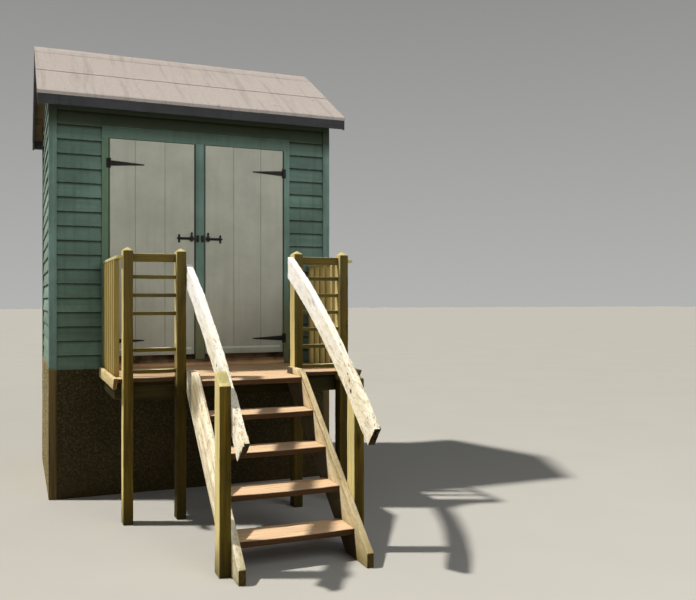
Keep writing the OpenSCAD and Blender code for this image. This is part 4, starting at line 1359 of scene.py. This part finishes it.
# %% Nails in the deck
JOIST_LOW, JOIST_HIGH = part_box("deck_joists")
DECK_JOISTS = 5
DECK_JOIST_W = 0.045
NAIL_R = 0.0042
NAIL_X = 0.022
NAILS_Y = (0.030, 0.120)
nail_z = DECK_Z + 0.0006
joist_step = (JOIST_HIGH.x - JOIST_LOW.x - DECK_JOIST_W) / (DECK_JOISTS - 1)
spots = [(JOIST_LOW.x + NAIL_X + j * joist_step, FRONT_Y - i * STEP - y, nail_z)
         for j in range(DECK_JOISTS) for i in range(DECK_BOARDS) for y in NAILS_Y
         if i < DECK_BOARDS - 1 or y == NAILS_Y[0]]
nails = studs("deck_nails", NAIL_R, spots, turned=False)
hand_over(nails, "hut", "black_iron", nail_steel)

# %% Joists and edge boards
joists = soften("deck_joists", "deck_frame", 0.003)
hand_over(joists, "hut", "post_timber", under_timber, "deck_joists")
edges = soften("deck_edge_boards", "deck_ends", 0.004)
divide(edges, Y, 60)
wander(edges, 0.007, 0.07)
wander(edges, 0.003, 0.02)
hand_over(edges, "hut", "weathered_timber", edge_board_timber, "deck_edge_boards")

# %% [markdown]
# ## Posts
# The posts are squared softwood with a four-way weathered top, which sheds rain. A block is
# divided along its length, its top face is extruded upwards and drawn to a point, and the
# arrises are bevelled. A slow wander gives each post its own slight bow. The low post on the
# left is the odd one: a bisect cuts its top to one slope, parallel to the handrail.

# %% Square posts with weathered tops
POST_CELL = 0.045
SHOULDER = 1.978
LOW_SHOULDER = 1.116
LOW_POST_D = 0.120


def weathered_post(name, low, high, shoulder):
    post = block(name, low, (high[0], high[1], shoulder))
    divide(post, Z, max(12, int((shoulder - low[2]) / POST_CELL)))
    choose(post, "FACE", lambda face: face.normal.z > 0.9)
    rise = high[2] - shoulder
    bpy.ops.mesh.extrude_region_move(TRANSFORM_OT_translate={"value": (0, 0, rise * 0.82)})
    bpy.ops.transform.resize(value=(0.16, 0.16, 1))
    leave_edit()
    round_arrises(post, 0.0055, 3, 20)
    return post


def sloped_post(name, low, high, shoulder, pitch):
    rise = (high[1] - low[1]) * math.tan(pitch)
    post = block(name, low, (high[0], high[1], shoulder + rise + 0.02))
    divide(post, Z, 24)
    enter_edit(post)
    cut_off((0, low[1], shoulder), (0, -math.sin(pitch), math.cos(pitch)))
    leave_edit()
    round_arrises(post, 0.0040, 3, 20)
    return post


for node, name in (("deck_corner_posts", "corner_newels"), ("newels", "stair_newels")):
    low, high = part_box(node)
    pair = [weathered_post(name, (x, low.y, 0), (x + POST_W, high.y, high.z), SHOULDER)
            for x in (low.x, high.x - POST_W)]
    made = join(name, pair)
    wander(made, 0.004, 0.10)
    wander(made, 0.006, 0.8)
    hand_over(made, "hut", "post_timber", post_timber, node)
low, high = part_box("low_posts")
left_low = sloped_post("low_post", (low.x, low.y, 0),
                       (low.x + POST_W, low.y + LOW_POST_D), LOW_SHOULDER, RAIL_PITCH)
right_low = weathered_post("low_post", (high.x - POST_W, high.y - LOW_POST_D, 0),
                           (high.x, high.y, high.z), LOW_SHOULDER)
made = join("stair_low_posts", [left_low, right_low])
wander(made, 0.004, 0.10)
hand_over(made, "hut", "post_timber", low_post_timber, "low_posts")

# %% [markdown]
# ## Front panels and side railings
# The front panels are like ladders: a deep top rail and thin bars between two posts. One bar
# of the left panel is lost and stays lost. The side railings are upright balusters under a
# thin capping. One bar or baluster is modelled and copied.

# %% Front panels
TOP_RAIL = SHOULDER - 0.018
TOP_RAIL_H = 0.060
BAR_H = 0.028
BAR_STEP = 0.1335
BARS = [TOP_RAIL - 0.185 - i * BAR_STEP for i in range(5)]


def ladder(node, name, lost=None):
    low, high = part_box(node)
    rail = block(name, (low.x, low.y, high.z - TOP_RAIL_H), high)
    divide(rail, X, 10)
    round_arrises(rail, 0.004)
    bar = block(name, (low.x, low.y, low.z), (high.x, high.y, low.z + BAR_H))
    divide(bar, X, 10)
    round_arrises(bar, 0.004)
    parts = repeat(bar, [(0, 0, z - low.z) for i, z in enumerate(BARS) if i != lost])
    made = join(name, [rail, *parts])
    wander(made, 0.004, 0.11)
    hand_over(made, "hut", "post_timber", rail_timber, node)


ladder("front_panel_left", "left_ladder_panel", lost=3)
ladder("front_panel_right", "right_ladder_panel")

# %% Side railings
SPINDLE = 0.041
SPINDLE_STEP = 0.140
SPINDLE_IN = 0.002
SPINDLES = 6
FIRST_SPINDLE = FRONT_Y - 0.020


def railing(node, name, side):
    low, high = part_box(node)
    under = high.z - CAPPING_T
    top = block(name, (low.x, low.y, under), high)
    divide(top, Y, 16)
    round_arrises(top, 0.003)
    inner = high.x - SPINDLE_IN - SPINDLE if side < 0 else low.x + SPINDLE_IN
    baluster = block(name, (inner, FIRST_SPINDLE - SPINDLE, low.z),
                     (inner + SPINDLE, FIRST_SPINDLE, under))
    divide(baluster, Z, 16)
    round_arrises(baluster, 0.003)
    parts = repeat(baluster, [(0, -SPINDLE_STEP * i, 0) for i in range(1, SPINDLES)])
    made = join(name, [top, *parts])
    wander(made, 0.003, 0.09)
    hand_over(made, "hut", "post_timber", spindle_timber, node)


railing("side_railing_left", "left_balusters", -1)
railing("side_railing_right", "right_balusters", 1)

# %% [markdown]
# ## The stair
# The stringers are deep boards with housings cut for the treads; the CAD shape already has
# them, so it is softened. Feet have worn the treads: their front edges are rounded and the
# middle of each is slightly hollow, which a smooth fall-off by distance gives.

# %% Stringers
strings = soften("stringers", "stair_strings", 0.004)
hand_over(strings, "hut", "weathered_timber", stringer_timber, "stringers")

# %% Treads
TREAD_LOW, TREAD_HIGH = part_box("stair_treads")
TREADS = 5
TREAD_D = 0.262
TREAD_T = 0.042
DECK_D = 0.935
WEAR_DEPTH = 0.0050
WEAR_HALF_W = 0.34
WEAR_FADE = 0.10
WEAR_SKIN = 0.012
middle_x = (TREAD_LOW.x + TREAD_HIGH.x) / 2
treads = []
for i in range(TREADS):
    nose = NOSE - i * GOING
    back = FRONT_Y - DECK_D if i == 0 else nose + TREAD_D
    top = DECK_Z - i * RISE
    tread = block("tread", (TREAD_LOW.x, nose, top - TREAD_T), (TREAD_HIGH.x, back, top))
    divide(tread, X, 24)
    divide(tread, Y, 8)
    round_arrises(tread, 0.007, 3)
    for v in tread.data.vertices:
        reach = max(0.0, 1 - ((v.co.x - middle_x) / WEAR_HALF_W) ** 2)
        if v.co.z > top - WEAR_SKIN:
            v.co.z -= WEAR_DEPTH * reach * math.exp(-(v.co.y - nose) / WEAR_FADE)
    treads.append(tread)
made = join("worn_treads", treads)
wander(made, 0.003, 0.12, "Z")
hand_over(made, "hut", "deck_timber", deck_timber, "stair_treads")

# %% [markdown]
# ## Handrails
# The handrails are boards on edge that have bowed upwards in the sun. A straight block is
# divided along its length and across its depth, and each ring of points is then set on the
# curve of the real rail, square to it. Three wanders roughen it: a slow one for its bends and
# two finer ones for its lifted fibres.

# %% Bowed boards
RUN = 1.610
RAIL_FALL = math.tan(RAIL_PITCH) * RUN
POST_OUT = 0.045
RAIL_FRONT = FRONT_Y - DECK_D - POST_OUT
RAIL_D = 0.150
RAIL_T = 0.045
RAIL_BACK = 0.027


def bowed_board(name, x, drop, crown, end):
    length = 1 + RAIL_BACK / RUN
    board = block(name, (x, 0, -RAIL_D), (x + RAIL_T, length, 0))
    divide(board, Y, 150)
    divide(board, Z, 11)
    divide(board, X, 3)
    for v in board.data.vertices:
        t = v.co.y - RAIL_BACK / RUN
        depth = -v.co.z
        slope = math.atan((RAIL_FALL - 4 * crown * (1 - 2 * t)) / RUN)
        y = RAIL_FRONT - t * RUN
        z = SHOULDER - drop - t * RAIL_FALL + 4 * crown * t * (1 - t)
        v.co.y = y + depth * math.sin(slope)
        v.co.z = z - depth * math.cos(slope)
    enter_edit(board)
    bpy.ops.mesh.normals_make_consistent(inside=False)
    cut_off((0, RAIL_FRONT + RAIL_BACK, 0), (0, 1, 0))
    across_end = (Vector(end[1]) - Vector(end[0])).cross(Vector(end[2]) - Vector(end[0]))
    if across_end.y > 0:
        across_end = -across_end
    cut_off(end[0], across_end)
    leave_edit()
    round_arrises(board, 0.004)
    for amount, size in ((0.010, 0.22), (0.007, 0.060), (0.003, 0.022)):
        wander(board, amount, size)
    return board


left_rail = bowed_board("left_bowed_rail", RAIL_LEFT, 0.101, 0.066,
                        ((RAIL_LEFT, -2.283, 0.820), (RAIL_LEFT + RAIL_T, -2.245, 0.818),
                         (RAIL_LEFT, -2.145, 0.7065)))
right_rail = bowed_board("right_bowed_rail", RAIL_RIGHT, 0.036, 0.078,
                         ((RAIL_RIGHT, -2.283, 0.850), (RAIL_RIGHT + RAIL_T, -2.272, 0.850),
                          (RAIL_RIGHT, -2.2138, 0.742)))
hand_over(left_rail, "hut", "weathered_timber", handrail_timber, "handrail_left")
hand_over(right_rail, "hut", "weathered_timber", handrail_timber, "handrail_right")
